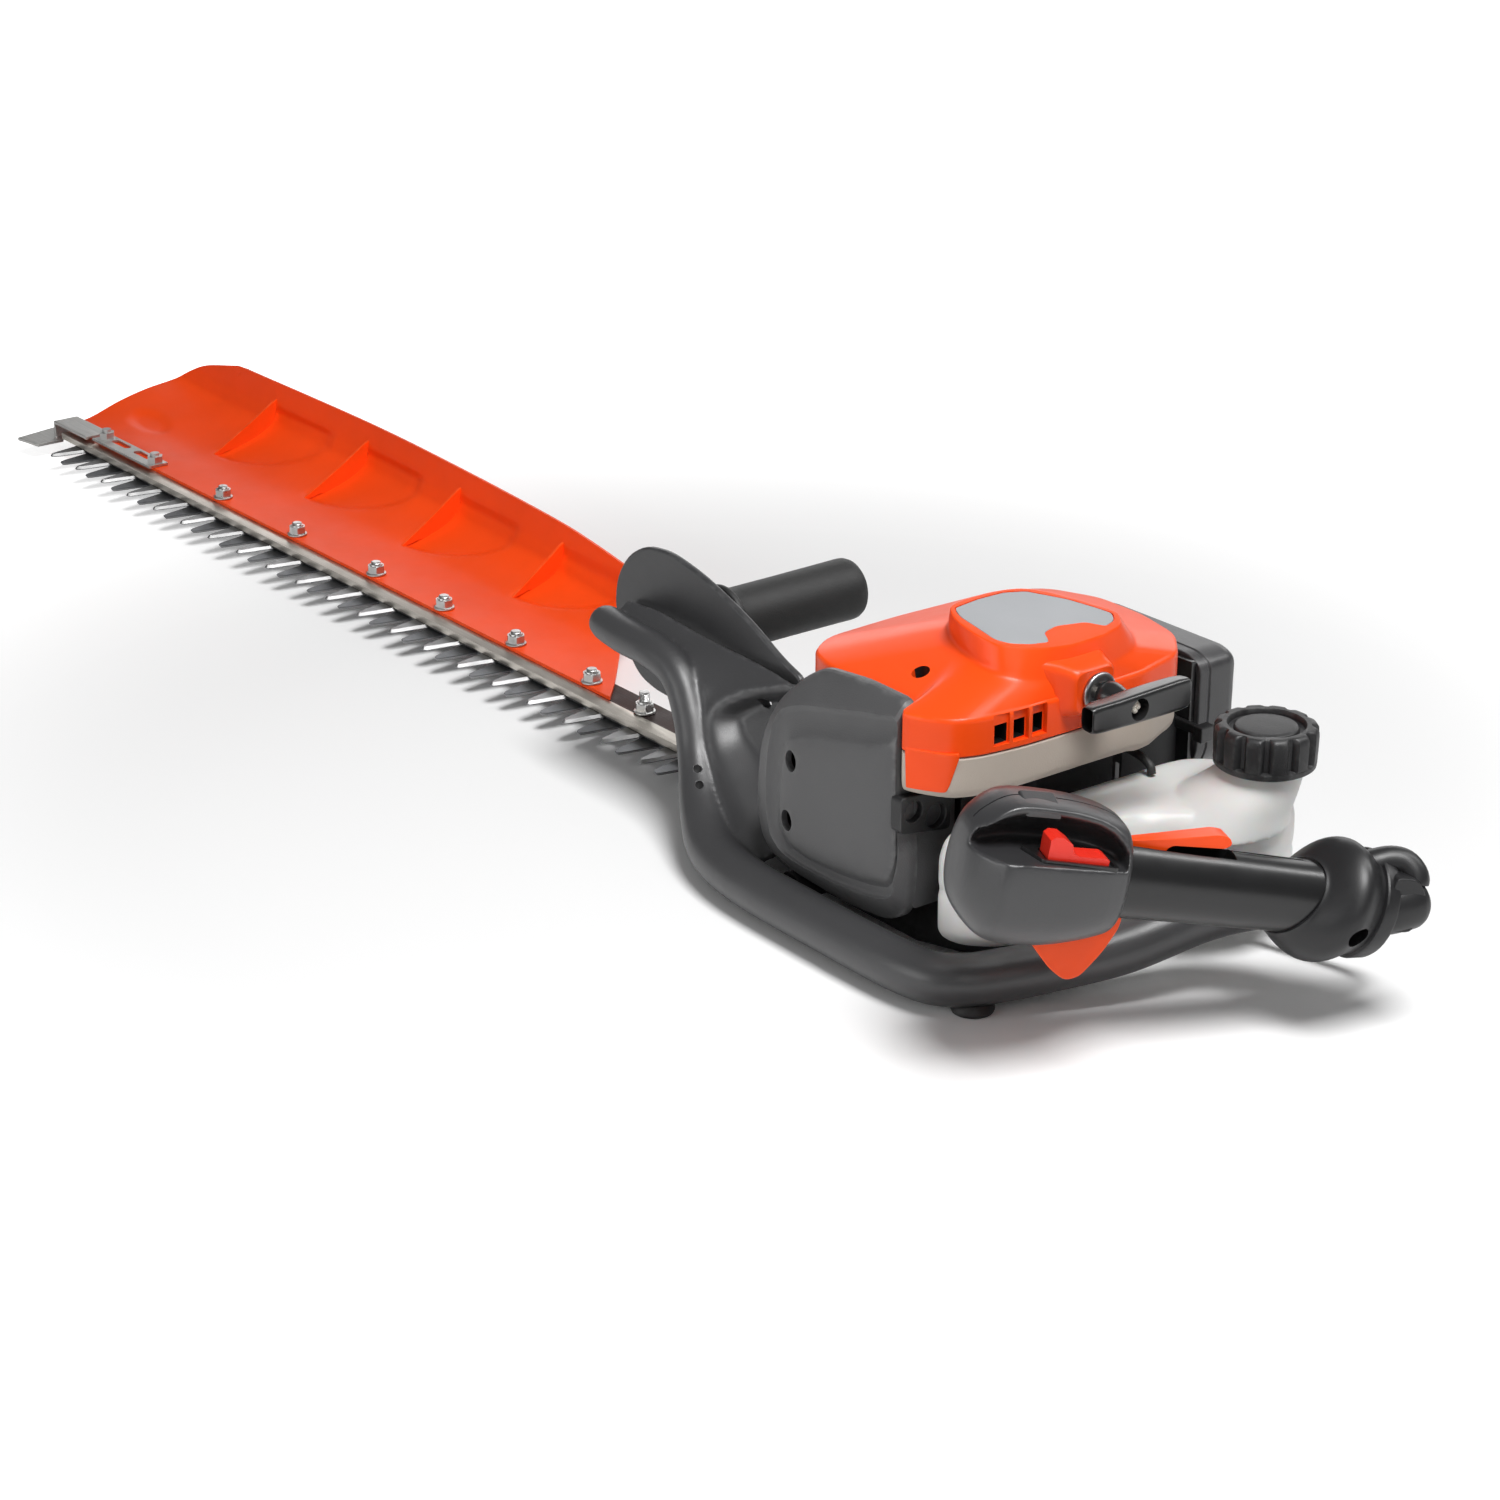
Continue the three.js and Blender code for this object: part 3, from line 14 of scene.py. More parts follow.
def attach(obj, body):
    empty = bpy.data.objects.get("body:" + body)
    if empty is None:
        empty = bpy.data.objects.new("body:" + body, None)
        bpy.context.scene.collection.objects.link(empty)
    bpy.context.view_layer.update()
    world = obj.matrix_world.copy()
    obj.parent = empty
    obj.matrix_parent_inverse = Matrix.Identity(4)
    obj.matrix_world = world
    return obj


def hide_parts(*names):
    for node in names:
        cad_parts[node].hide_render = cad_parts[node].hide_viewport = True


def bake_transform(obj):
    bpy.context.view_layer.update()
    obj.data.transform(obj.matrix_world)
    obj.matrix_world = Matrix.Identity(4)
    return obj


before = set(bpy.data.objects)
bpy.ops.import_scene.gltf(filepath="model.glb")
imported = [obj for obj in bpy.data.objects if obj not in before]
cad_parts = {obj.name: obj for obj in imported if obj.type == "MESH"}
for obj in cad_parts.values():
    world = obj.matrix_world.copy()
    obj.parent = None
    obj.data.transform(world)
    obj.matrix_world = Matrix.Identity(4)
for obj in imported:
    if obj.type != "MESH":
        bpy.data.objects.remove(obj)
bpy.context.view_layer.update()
mm = 0.001

# %% [markdown]
# ## The camera
# A long lens stands behind the machine, to its left and a little above. A long lens keeps the far
# end of the cutting bar from shrinking too much, so its teeth stay readable down to the tip.

# %% Camera
camera_data = bpy.data.cameras.new("product_camera")
camera_data.lens = 82.18
camera_data.sensor_width = 36
camera = bpy.data.objects.new("product_camera", camera_data)
camera.location = (-1.2903, 1.0075, 0.7141)
camera.rotation_euler = (math.radians(67.29), 0, math.radians(-127.87))
bpy.context.scene.collection.objects.link(camera)
bpy.context.scene.camera = camera
bpy.context.scene.view_settings.view_transform = "Standard"
print("camera at", tuple(camera.location))

# %% [markdown]
# ## Light
# A studio hangs one soft box high over the rear of the product, so the shadow stays close under it.
# One stands at the left and one beside the camera, and they open the dark sides. A narrow strip draws
# the long pale line along every round bar, and a broad weak box behind makes the tops of dark pieces
# shine at a grazing angle. These two only shine: they are seen in glossy faces and cast no light of
# their own on the floor. Area lamps are used, because their size sets how soft the shadow is.

# %% Soft boxes
def add_soft_box(name, place, target, size, watts, only_shine=False):
    lamp_data = bpy.data.lights.new(name, "AREA")
    lamp_data.shape = "RECTANGLE"
    lamp_data.size, lamp_data.size_y = size
    lamp_data.energy = watts
    lamp = bpy.data.objects.new(name, lamp_data)
    lamp.location = place
    aim = Vector(target) - Vector(place)
    lamp.rotation_euler = aim.to_track_quat("-Z", "Y").to_euler()
    lamp.visible_camera = False
    lamp.visible_diffuse = not only_shine
    bpy.context.scene.collection.objects.link(lamp)


add_soft_box("overhead_box", (-1.1, 0.15, 2.2), (-0.05, 0.0, 0.0), (0.9, 0.9), 58)
add_soft_box("left_box", (0.1, 1.9, 0.65), (0.0, 0.0, 0.1), (1.6, 0.6), 9)
add_soft_box("camera_box", (-1.9, 1.0, 1.2), (-0.1, 0.0, 0.1), (0.8, 0.8), 3.5)
add_soft_box("strip_box", (-0.7, -1.3, 1.75), (-0.33, 0.0, 0.08), (0.22, 1.7), 20, True)
add_soft_box("back_box", (1.6, -1.9, 0.9), (-0.1, 0.0, 0.1), (2.6, 1.2), 18, True)
print("five soft boxes")

# %% [markdown]
# ## Nodes
# Every material is a small net of nodes. One helper adds a node with its settings. Another fills the
# node's inputs: an input is linked to the output it is given, or it takes a plain value.

# %% Add one node
def fill_inputs(tree, node, inputs):
    for label, value in inputs.items():
        if isinstance(value, bpy.types.NodeSocket):
            tree.links.new(value, node.inputs[label])
        else:
            node.inputs[label].default_value = value


def new_node(tree, kind, inputs=None, **settings):
    node = tree.nodes.new("ShaderNode" + kind)
    for label, value in settings.items():
        setattr(node, label, value)
    fill_inputs(tree, node, inputs or {})
    return node


print("node helpers")

# %% [markdown]
# ## Floor and background
# The floor is a plain white sheet that keeps the machine's shadow. It also glows for the camera alone:
# very little near the machine, and fully further out, so that it meets the white background without
# a line. Reflections see the floor as plain paper, which keeps the black plastics black. From below the
# sheet is clear, so that the underside can be looked at.

# %% Floor
glow_starts, glow_full = 0.3, 1.0


def make_floor_material():
    material = bpy.data.materials.new("paper_floor")
    material.use_nodes = True
    tree = material.node_tree
    tree.nodes.clear()
    place, path = new_node(tree, "TexCoord"), new_node(tree, "LightPath")
    away = new_node(tree, "VectorMath", {0: place.outputs["Object"]}, operation="LENGTH")
    level = new_node(tree, "MapRange", {
        "Value": away.outputs["Value"], "From Min": glow_starts, "From Max": glow_full,
    }, interpolation_type="SMOOTHSTEP")
    seen = new_node(tree, "Math", {0: level.outputs[0], 1: path.outputs["Is Camera Ray"]}, operation="MULTIPLY")
    paper = new_node(tree, "BsdfDiffuse", {"Color": (0.9, 0.9, 0.9, 1)})
    glow = new_node(tree, "Emission", {"Strength": seen.outputs[0]})
    both = new_node(tree, "AddShader", {0: paper.outputs[0], 1: glow.outputs[0]})
    side, clear = new_node(tree, "NewGeometry"), new_node(tree, "BsdfTransparent")
    layers = {0: side.outputs["Backfacing"], 1: both.outputs[0], 2: clear.outputs[0]}
    sheet = new_node(tree, "MixShader", layers)
    new_node(tree, "OutputMaterial", {"Surface": sheet.outputs[0]})
    return material


bpy.ops.object.select_all(action="DESELECT")
bpy.ops.mesh.primitive_plane_add(size=40, location=(0, 0, 0))
floor = bpy.context.object
floor.name = "studio_floor"
floor.data.materials.append(make_floor_material())
print("floor", floor.dimensions[:2])

# %% [markdown]
# The world is the room round the table. It gives a weak, even light, and shows plain white where the
# camera looks straight at it.

# %% World
world = bpy.data.worlds.new("white_room")
world.use_nodes = True
bpy.context.scene.world = world
tree = world.node_tree
path = new_node(tree, "LightPath")
level = new_node(tree, "MapRange", {"Value": path.outputs["Is Camera Ray"], "To Min": 0.15, "To Max": 1.0})
fill_inputs(tree, tree.nodes["Background"], {"Color": (1, 1, 1, 1), "Strength": level.outputs[0]})
print("world ready")

# %% [markdown]
# ## Shared surface effects
# Moulded plastic, brushed steel and cast metal each come on many pieces. Their look is a node group,
# built once. A group gives out colours, roughness values and heights, and the shader itself stays in
# each material. The patterns read Object coordinates, which here are plain metres.

# %% Start and close a node group
def new_group(name, second_colour, extra, extra_kind="Float"):
    group = bpy.data.node_groups.new(name, "ShaderNodeTree")
    for label, way, kind in (
        ("Colour", "INPUT", "Color"), (second_colour, "INPUT", "Color"), (extra, "INPUT", extra_kind),
        ("Gloss", "INPUT", "Float"), ("Colour", "OUTPUT", "Color"), ("Roughness", "OUTPUT", "Float"),
        ("Height", "OUTPUT", "Float"),
    ):
        group.interface.new_socket(name=label, in_out=way, socket_type="NodeSocket" + kind)
    place = new_node(group, "TexCoord").outputs["Object"]
    return group, group.nodes.new("NodeGroupInput").outputs, place


def noise(tree, vector, scale, detail, roughness=0.5):
    inputs = {"Scale": scale, "Detail": detail, "Roughness": roughness, "Vector": vector}
    return new_node(tree, "TexNoise", inputs).outputs["Fac"]


def ranged(tree, value, low, high, out_low, out_high):
    inputs = {"Value": value, "From Min": low, "From Max": high, "To Min": out_low, "To Max": out_high}
    return new_node(tree, "MapRange", inputs).outputs[0]


def calculated(tree, operation, first, second):
    return new_node(tree, "Math", {0: first, 1: second}, operation=operation).outputs[0]


def mixed_colour(tree, kind, factor, first, second):
    inputs = {"Factor": factor, "A": first, "B": second}
    return new_node(tree, "Mix", inputs, data_type="RGBA", blend_type=kind).outputs["Result"]


def close_group(tree, inside, tone, mask, second_colour, duller, height):
    body = mixed_colour(tree, "MULTIPLY", 1, inside["Colour"], tone)
    fill_inputs(tree, tree.nodes.new("NodeGroupOutput"), {
        "Colour": mixed_colour(tree, "MIX", mask, body, inside[second_colour]),
        "Roughness": calculated(tree, "ADD", inside["Gloss"], duller), "Height": height,
    })
    print("group", tree.name)


# %% [markdown]
# Edges that stick out are rubbed paler by hands and twigs. The mesh carries how sharp each edge is as
# an attribute, and a noise breaks the rubbed line up into patches.

# %% Edge wear
def edge_mask(tree, place, amount):
    sharp = new_node(tree, "Attribute", attribute_name="edge_sharpness").outputs["Fac"]
    patches = ranged(tree, noise(tree, place, 160, 5, 0.6), 0.42, 0.66, 0.0, 1.0)
    return calculated(tree, "MULTIPLY", calculated(tree, "MULTIPLY", sharp, patches), amount)


print("edge wear ready")

# %% [markdown]
# Moulded plastic has one body colour that drifts a little from place to place, a fine grain from the
# mould, and faint streaks where it was handled.

# %% Moulded plastic
moulded_skin, inside, place = new_group("moulded_skin", "Rubbed", "Wear")
drift = ranged(moulded_skin, noise(moulded_skin, place, 16, 4), 0.3, 0.7, 0.94, 1.06)
rubbed_edges = edge_mask(moulded_skin, place, inside["Wear"])
streaks = ranged(moulded_skin, noise(moulded_skin, place, 70, 6, 0.7), 0.35, 0.7, -0.02, 0.03)
grain = noise(moulded_skin, place, 1500, 2)
close_group(moulded_skin, inside, drift, rubbed_edges, "Rubbed", streaks, grain)

# %% [markdown]
# The grain of ground steel runs one way, so the noise is drawn out along that way. Cloudy stains
# darken it and make it duller.

# %% Brushed metal
brushed_skin, inside, place = new_group("brushed_skin", "Stain", "Draw", "Vector")
drawn = new_node(brushed_skin, "Mapping", {"Vector": place, "Scale": inside["Draw"]})
lines = noise(brushed_skin, drawn.outputs[0], 1, 5, 0.7)
cloud = noise(brushed_skin, place, 30, 6, 0.65)
tone = ranged(brushed_skin, lines, 0.25, 0.75, 0.82, 1.12)
stains = ranged(brushed_skin, cloud, 0.5, 0.75, 0.0, 0.55)
dullness = ranged(brushed_skin, cloud, 0.3, 0.75, -0.06, 0.14)
close_group(brushed_skin, inside, tone, stains, "Stain", dullness, lines)

# %% [markdown]
# Cast metal is lumpy and matt, and its edges are rubbed bright. The same group with almost no relief
# serves for zinc plating.

# %% Cast metal
cast_skin, inside, place = new_group("cast_skin", "Rubbed", "Wear")
lumps = noise(cast_skin, place, 420, 4, 0.6)
tone = ranged(cast_skin, noise(cast_skin, place, 35, 5, 0.6), 0.3, 0.7, 0.8, 1.1)
rubbed_edges = edge_mask(cast_skin, place, inside["Wear"])
dullness = ranged(cast_skin, lumps, 0.3, 0.7, -0.08, 0.1)
close_group(cast_skin, inside, tone, rubbed_edges, "Rubbed", dullness, lumps)

# %% [markdown]
# ## The finishes
# Each material holds its own Principled shader. Its colour, roughness and fine relief come from one
# of the groups, with values for that finish. Numbers that are the same all over, such as metallic,
# coat or sheen, are set on the shader itself.

# %% Make one finish
relief_depth = 0.0004
finish = {}


def as_colour(tone):
    return (*tone, 1) if isinstance(tone, tuple) else (tone, tone, tone, 1)


def make_finish(name, group, values, relief, metallic=0.0, coat=0.0, sheen=0.0, subsurface=0.0, specular=0.5):
    material = bpy.data.materials.new(name)
    material.use_nodes = True
    tree = material.node_tree
    skin = new_node(tree, "Group", values, node_tree=group).outputs
    bump = new_node(tree, "Bump", {"Strength": relief, "Distance": relief_depth, "Height": skin["Height"]})
    fill_inputs(tree, tree.nodes["Principled BSDF"], {
        "Base Color": skin["Colour"], "Roughness": skin["Roughness"], "Normal": bump.outputs[0],
        "Metallic": metallic, "Specular IOR Level": specular, "Coat Weight": coat, "Coat Roughness": 0.18,
        "Sheen Weight": sheen, "Subsurface Weight": subsurface, "Subsurface Scale": 0.003,
    })
    finish[name] = material


def moulded(name, colour, rubbed, wear, gloss, relief=0.25, group=moulded_skin, **more):
    values = {"Colour": as_colour(colour), "Rubbed": as_colour(rubbed), "Wear": wear, "Gloss": gloss}
    make_finish(name, group, values, relief, **more)


def cast(name, colour, rubbed, wear, gloss, relief=0.5, metallic=0.85):
    moulded(name, colour, rubbed, wear, gloss, relief, cast_skin, metallic=metallic)


def brushed(name, colour, stain, draw, gloss, relief=0.2):
    values = {"Colour": as_colour(colour), "Stain": as_colour(stain), "Draw": draw, "Gloss": gloss}
    make_finish(name, brushed_skin, values, relief, metallic=1.0)


print("finish helpers")

# %% [markdown]
# The orange and the greys are written as they should look under the plain studio light. Greys that
# are close in tone still differ in gloss, so that frame, pod, guard and covers read as separate
# mouldings.

# %% Plastics and rubber
moulded("orange_shell", (0.92, 0.074, 0.005), (0.95, 0.15, 0.03), 0.25, 0.33, 0.06, specular=0.3)
moulded("orange_sheet", (0.88, 0.068, 0.005), (0.92, 0.16, 0.05), 0.3, 0.42, 0.06, specular=0.16)
moulded("red_rocker", (0.82, 0.03, 0.015), (0.9, 0.2, 0.15), 0.3, 0.36, 0.1)
moulded("grey_shell", (0.076, 0.076, 0.078), 0.2, 0.4, 0.42, 0.3)
moulded("frame_shell", (0.042, 0.042, 0.044), 0.14, 0.3, 0.4, 0.15, specular=0.75)
moulded("pod_shell", (0.030, 0.030, 0.032), 0.11, 0.3, 0.36, 0.12, specular=0.8)
moulded("guard_shell", (0.036, 0.036, 0.038), 0.13, 0.4, 0.38, 0.25, specular=0.6)
moulded("black_shell", (0.010, 0.010, 0.0105), 0.05, 0.3, 0.3, 0.08, coat=0.3)
moulded("grip_shell", (0.012, 0.012, 0.013), 0.05, 0.2, 0.4, 0.08)
moulded("grip_black", (0.008, 0.008, 0.0085), 0.03, 0.0, 0.3, 0.0, specular=0.6)
moulded("cap_black", (0.011, 0.011, 0.012), 0.08, 0.45, 0.46, 0.3)
moulded("soft_rubber", 0.012, 0.05, 0.3, 0.56, 0.4)
moulded("sand_shell", (0.48, 0.42, 0.36), (0.6, 0.55, 0.5), 0.3, 0.55, 0.35)
moulded("tank_white", (0.68, 0.675, 0.66), (0.88, 0.88, 0.86), 0.2, 0.4, 0.15, subsurface=0.25)
moulded("rope_white", (0.68, 0.64, 0.56), (0.75, 0.72, 0.66), 0.2, 0.85, 0.6, sheen=0.3)
moulded("filter_foam", (0.05, 0.06, 0.045), (0.1, 0.11, 0.09), 0.2, 0.95, 1.0)
moulded("plate_silver", (0.34, 0.35, 0.365), 0.8, 0.2, 0.4, 0.1)
print("plastics ready:", len(finish))

# %% [markdown]
# The teeth are ground, the lower blade is darker as painted shade for the upper blade's shadow, the bar
# is bare steel with an oxide skin at its root, and nuts and clips are zinc plated. The three numbers in
# the middle of a brushed finish set how dense its grain is along each axis. The small one draws the
# grain out that way.

# %% Metals
brushed("blade_steel", (0.26, 0.26, 0.265), 0.15, (500, 20, 500), 0.4, 0.08)
brushed("ground_steel", 0.36, 0.26, (500, 20, 500), 0.5, 0.06)
brushed("dark_steel", (0.16, 0.165, 0.175), (0.10, 0.10, 0.105), (20, 700, 700), 0.4)
brushed("bar_steel", (0.66, 0.62, 0.56), (0.50, 0.47, 0.42), (12, 900, 900), 0.38)
brushed("oxide_steel", (0.05, 0.035, 0.033), (0.09, 0.04, 0.03), (12, 900, 900), 0.5)
brushed("ring_steel", (0.40, 0.40, 0.41), (0.22, 0.22, 0.23), (60, 60, 60), 0.3, 0.03)
brushed("tip_steel", (0.62, 0.615, 0.60), (0.52, 0.51, 0.49), (30, 500, 500), 0.42)
cast("zinc_plate", (0.54, 0.54, 0.53), 0.8, 0.3, 0.34, 0.02, 1.0)
cast("cast_alloy", (0.46, 0.455, 0.44), (0.68, 0.68, 0.67), 0.5, 0.5)
cast("black_alloy", (0.035, 0.035, 0.037), 0.22, 0.5, 0.5, 0.4, 0.3)
cast("sooty_steel", (0.10, 0.085, 0.075), (0.25, 0.23, 0.21), 0.4, 0.6)
print("finishes ready:", len(finish))

# %% [markdown]
# ## Hand tools
# Every piece starts as a primitive and is shaped in edit mode, the way one works by hand. The small
# helpers below do the steps that come back again and again: choose a piece, add a ring and pull it
# up through further rings, round the edges, cut a hole, and hand the piece over to its body.

# %% Choosing a piece
def choose(*pieces):
    if bpy.context.object and bpy.context.object.mode != "OBJECT":
        bpy.ops.object.mode_set(mode="OBJECT")
    bpy.ops.object.select_all(action="DESELECT")
    for piece in pieces:
        piece.select_set(True)
    if pieces:
        bpy.context.view_layer.objects.active = pieces[0]


def named(piece, name):
    piece.name = piece.data.name = name
    return piece


def start_editing(piece):
    choose(piece)
    bpy.ops.object.mode_set(mode="EDIT")
    bpy.ops.mesh.select_all(action="SELECT")


def stop_editing(turn_out=True):
    if turn_out:
        bpy.ops.mesh.select_all(action="SELECT")
        bpy.ops.mesh.normals_make_consistent(inside=False)
    bpy.ops.object.mode_set(mode="OBJECT")


def apply_modifier(piece, kind, **settings):
    modifier = piece.modifiers.new(kind.lower(), kind)
    for label, value in settings.items():
        setattr(modifier, label, value)
    choose(piece)
    bpy.ops.object.modifier_apply(modifier=modifier.name)


print("choosing tools")

# %% [markdown]
# A loft is a ring pulled through a row of rings. The first ring is a circle primitive with one corner
# for each point. Each further ring is extruded from the last one, and its corners are set in place.

# %% Loft
def add_ring(name, points, fill="NOTHING"):
    choose()
    bpy.ops.mesh.primitive_circle_add(vertices=len(points), radius=0.01, fill_type=fill)
    piece = named(bpy.context.object, name)
    for vertex, point in zip(piece.data.vertices, points):
        vertex.co = Vector(point) * mm
    return piece


def fill_ring(piece, ring):
    bpy.ops.mesh.select_all(action="DESELECT")
    body = bmesh.from_edit_mesh(piece.data)
    body.verts.ensure_lookup_table()
    for index in ring:
        body.verts[index].select = True
    body.select_flush(True)
    bmesh.update_edit_mesh(piece.data)
    bpy.ops.mesh.edge_face_add()


def loft(name, rings, closed=True):
    piece = add_ring(name, rings[0])
    start_editing(piece)
    first = last = list(range(len(rings[0])))
    for points in rings[1:]:
        bpy.ops.mesh.extrude_region_move()
        body = bmesh.from_edit_mesh(piece.data)
        body.verts.index_update()
        body.verts.ensure_lookup_table()
        above = []
        for vertex in [body.verts[index] for index in last]:
            beside = [edge.other_vert(vertex) for edge in vertex.link_edges]
            above.append(next(other for other in beside if other.select))
        for vertex, point in zip(above, points):
            vertex.co = Vector(point) * mm
        last = [vertex.index for vertex in above]
        bmesh.update_edit_mesh(piece.data)
    if closed:
        fill_ring(piece, first)
        fill_ring(piece, last)
    stop_editing()
    return piece


print("loft tool")

# %% [markdown]
# A plate is one filled outline, extruded once by its thickness, along any of the three axes.

# %% Plate
def plate(name, outline, low, high, axis="Z"):
    def lift(a, b, height):
        return {"Z": (a, b, height), "Y": (a, height, b), "X": (height, a, b)}[axis]

    piece = add_ring(name, [lift(a, b, low) for a, b in outline], "NGON")
    start_editing(piece)
    move = Vector(lift(0, 0, high - low)) * mm
    bpy.ops.mesh.extrude_region_move(TRANSFORM_OT_translate={"value": tuple(move)})
    stop_editing()
    return piece


print("plate tool")

# %% [markdown]
# A turned piece is a loft of circles along a straight axis, as on a lathe. A tube is a loft of circles
# along a smooth path. The path goes through every stop, and a fourth number at a stop sets the radius.

# %% Turned pieces and tubes
def circle_turns(sides):
    return [2 * math.pi * k / sides for k in range(sides)]


def circle_ring(middle, side, other, radius, sides):
    return [middle + (side * math.cos(t) + other * math.sin(t)) * radius for t in circle_turns(sides)]


def turned(name, centre, axis, stations, sides=40):
    along = Vector(axis).normalized()
    side = along.orthogonal().normalized()
    other = along.cross(side)
    return loft(name, [
        circle_ring(Vector(centre) + along * distance, side, other, radius, sides) for distance, radius in stations
    ])


def smooth_path(stops, steps):
    held = [Vector(stop) for stop in stops]
    held = [2 * held[0] - held[1]] + held + [2 * held[-1] - held[-2]]
    points = []
    for a, b, c, d in zip(held, held[1:], held[2:], held[3:]):
        for k in range(steps):
            t = k / steps
            bend, twist = 2 * a - 5 * b + 4 * c - d, 3 * b - a - 3 * c + d
            points.append(0.5 * (2 * b + (c - a) * t + bend * t * t + twist * t ** 3))
    return points + [held[-2]]


def tube(name, stops, sides=20, steps=6):
    points = smooth_path(stops, steps)
    side = None
    rings = []
    for i, point in enumerate(points):
        along = Vector(points[min(i + 1, len(points) - 1)][:3]) - Vector(points[max(i - 1, 0)][:3])
        along.normalize()
        side = along.orthogonal() if side is None else side - along * side.dot(along)
        side.normalize()
        other = along.cross(side)
        rings.append(circle_ring(Vector(point[:3]), side, other, point[3], sides))
    return loft(name, rings)


def with_radius(stops, radius):
    return [(*stop, radius) for stop in stops]


print("turning tools")

# %% [markdown]
# Each corner of an outline is cut back and replaced by a short curve, so no moulded outline has a
# sharp corner. Many lofts are one outline pushed in or out from its centre, a little more at each
# height. The helper loft_of makes one ring for each row of numbers.

# %% Outlines
def rounded(outline, radius, steps=4):
    points = []
    for i, corner in enumerate(outline):
        corner = Vector(corner)
        before = Vector(outline[i - 1]) - corner
        after = Vector(outline[(i + 1) % len(outline)]) - corner
        reach = min(radius, 0.45 * before.length, 0.45 * after.length)
        a = corner + before.normalized() * reach
        b = corner + after.normalized() * reach
        for k in range(steps + 1):
            t = k / steps
            points.append((1 - t) ** 2 * a + 2 * t * (1 - t) * corner + t * t * b)
    return points


def pushed(point, centre, distance):
    from_centre = point - centre
    return centre + from_centre * (1 + distance / from_centre.length)


def loft_of(name, ring, rows):
    return loft(name, [ring(*row) for row in rows])


print("outline tools")

# %% [markdown]
# A bevel rounds the edges that are sharper than a given angle. Weighted normals then keep the broad
# faces flat in the light. Holes are cut and lumps are added with an exact Boolean.

# %% Rounding edges and cutting
def soften(piece, width, segments=3, angle=28, smooth=40):
    apply_modifier(
        piece, "BEVEL", width=width * mm, segments=segments, limit_method="ANGLE",
        angle_limit=math.radians(angle), miter_outer="MITER_ARC", harden_normals=False,
    )
    shade(piece, smooth)


def shade(piece, smooth=40):
    choose(piece)
    bpy.ops.object.shade_smooth_by_angle(angle=math.radians(smooth))
    apply_modifier(piece, "WEIGHTED_NORMAL", keep_sharp=True, weight=60)


def combine(piece, others, operation="DIFFERENCE"):
    for other in others:
        apply_modifier(piece, "BOOLEAN", object=other, operation=operation, solver="EXACT")
        bpy.data.objects.remove(other)
    return piece


def join_pieces(name, *pieces):
    choose(*pieces)
    bpy.ops.object.join()
    return named(pieces[0], name)


def moved_copy(piece, name, shift):
    choose(piece)
    bpy.ops.object.duplicate()
    copy = named(bpy.context.object, name)
    copy.location = Vector(shift) * mm
    bpy.ops.object.transform_apply(location=True, rotation=False, scale=False)
    return copy


def tell_size(piece):
    print(piece.name, tuple(round(v / mm, 1) for v in piece.dimensions), "mm")


print("cutting tools")

# %% [markdown]
# Wear sits on edges that stick out and are narrow. The helper below writes one number on each corner
# of the mesh: one on the middle of a rounded outer edge, and zero beside any broad face. It then
# gives the piece its finishes, its body and the solids that it stands for.

# %% Hand a piece over
def mark_edges(piece):
    body = bmesh.new()
    body.from_mesh(piece.data)
    breadth = {}
    for face in body.faces:
        breadth[face.index] = face.calc_area() / max(edge.calc_length() for edge in face.edges)
    values = []
    for vertex in body.verts:
        widest = max((breadth[face.index] for face in vertex.link_faces), default=1)
        bends = [edge.calc_face_angle_signed(0) for edge in vertex.link_edges]
        bend = max(bends, default=0)
        values.append(0 if widest > 2.5 * mm else min(1, max(0, (bend - 0.17) / 0.3)))
    body.free()
    attribute = piece.data.attributes.new("edge_sharpness", "FLOAT", "POINT")
    attribute.data.foreach_set("value", values)


fitted = []


def fit(piece, slot, finishes, *nodes, body="machine"):
    piece.data.materials.clear()
    for name in finishes.split():
        piece.data.materials.append(finish[name])
    mark_edges(piece)
    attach(piece, body)
    if nodes:
        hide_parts(*nodes)
    fitted.append(piece)
    return piece


def paint(piece, index, test):
    for face in piece.data.polygons:
        if test(face.center / mm, face.normal):
            face.material_index = index


print("handing over goes through one door")

# %% [markdown]
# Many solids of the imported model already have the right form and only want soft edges. Such a piece
# is a copy of the solid's mesh. Its loose triangles are merged and flat ones are joined, and then the
# edges are rounded with a bevel.

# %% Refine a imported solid
def refine(name, node, width):
    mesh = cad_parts[node].data.copy()
    mesh.materials.clear()
    piece = bpy.data.objects.new(name, mesh)
    bpy.context.scene.collection.objects.link(piece)
    start_editing(piece)
    bpy.ops.mesh.customdata_custom_splitnormals_clear()
    bpy.ops.mesh.remove_doubles(threshold=0.02 * mm)
    bpy.ops.mesh.dissolve_limited(angle_limit=math.radians(0.6))
    stop_editing(turn_out=False)
    if width:
        soften(piece, width, 2)
    else:
        shade(piece)
    return piece


print("tools ready")

# %% [markdown]
# ## The cutting end
# Two toothed blades slide against each other under a stiff bar. The upper blade is ground bright on
# its cutting edges. The lower one is given a darker steel as painted shade, for the shadow of the upper
# blade over it. Each blade is lofted in three rings: a straight lower part, and a top drawn in along
# the flanks, which gives the ground bevel.

# %% Blades
blade_root, blade_back, blade_front = -85, -11, 12
first_tooth, tooth_pitch, tooth_count = 720, 35, 20
half_tooth = ((7.5, 12), (5.7, 19.5), (3.5, 30), (2.5, 33.2), (1.2, 34.9))


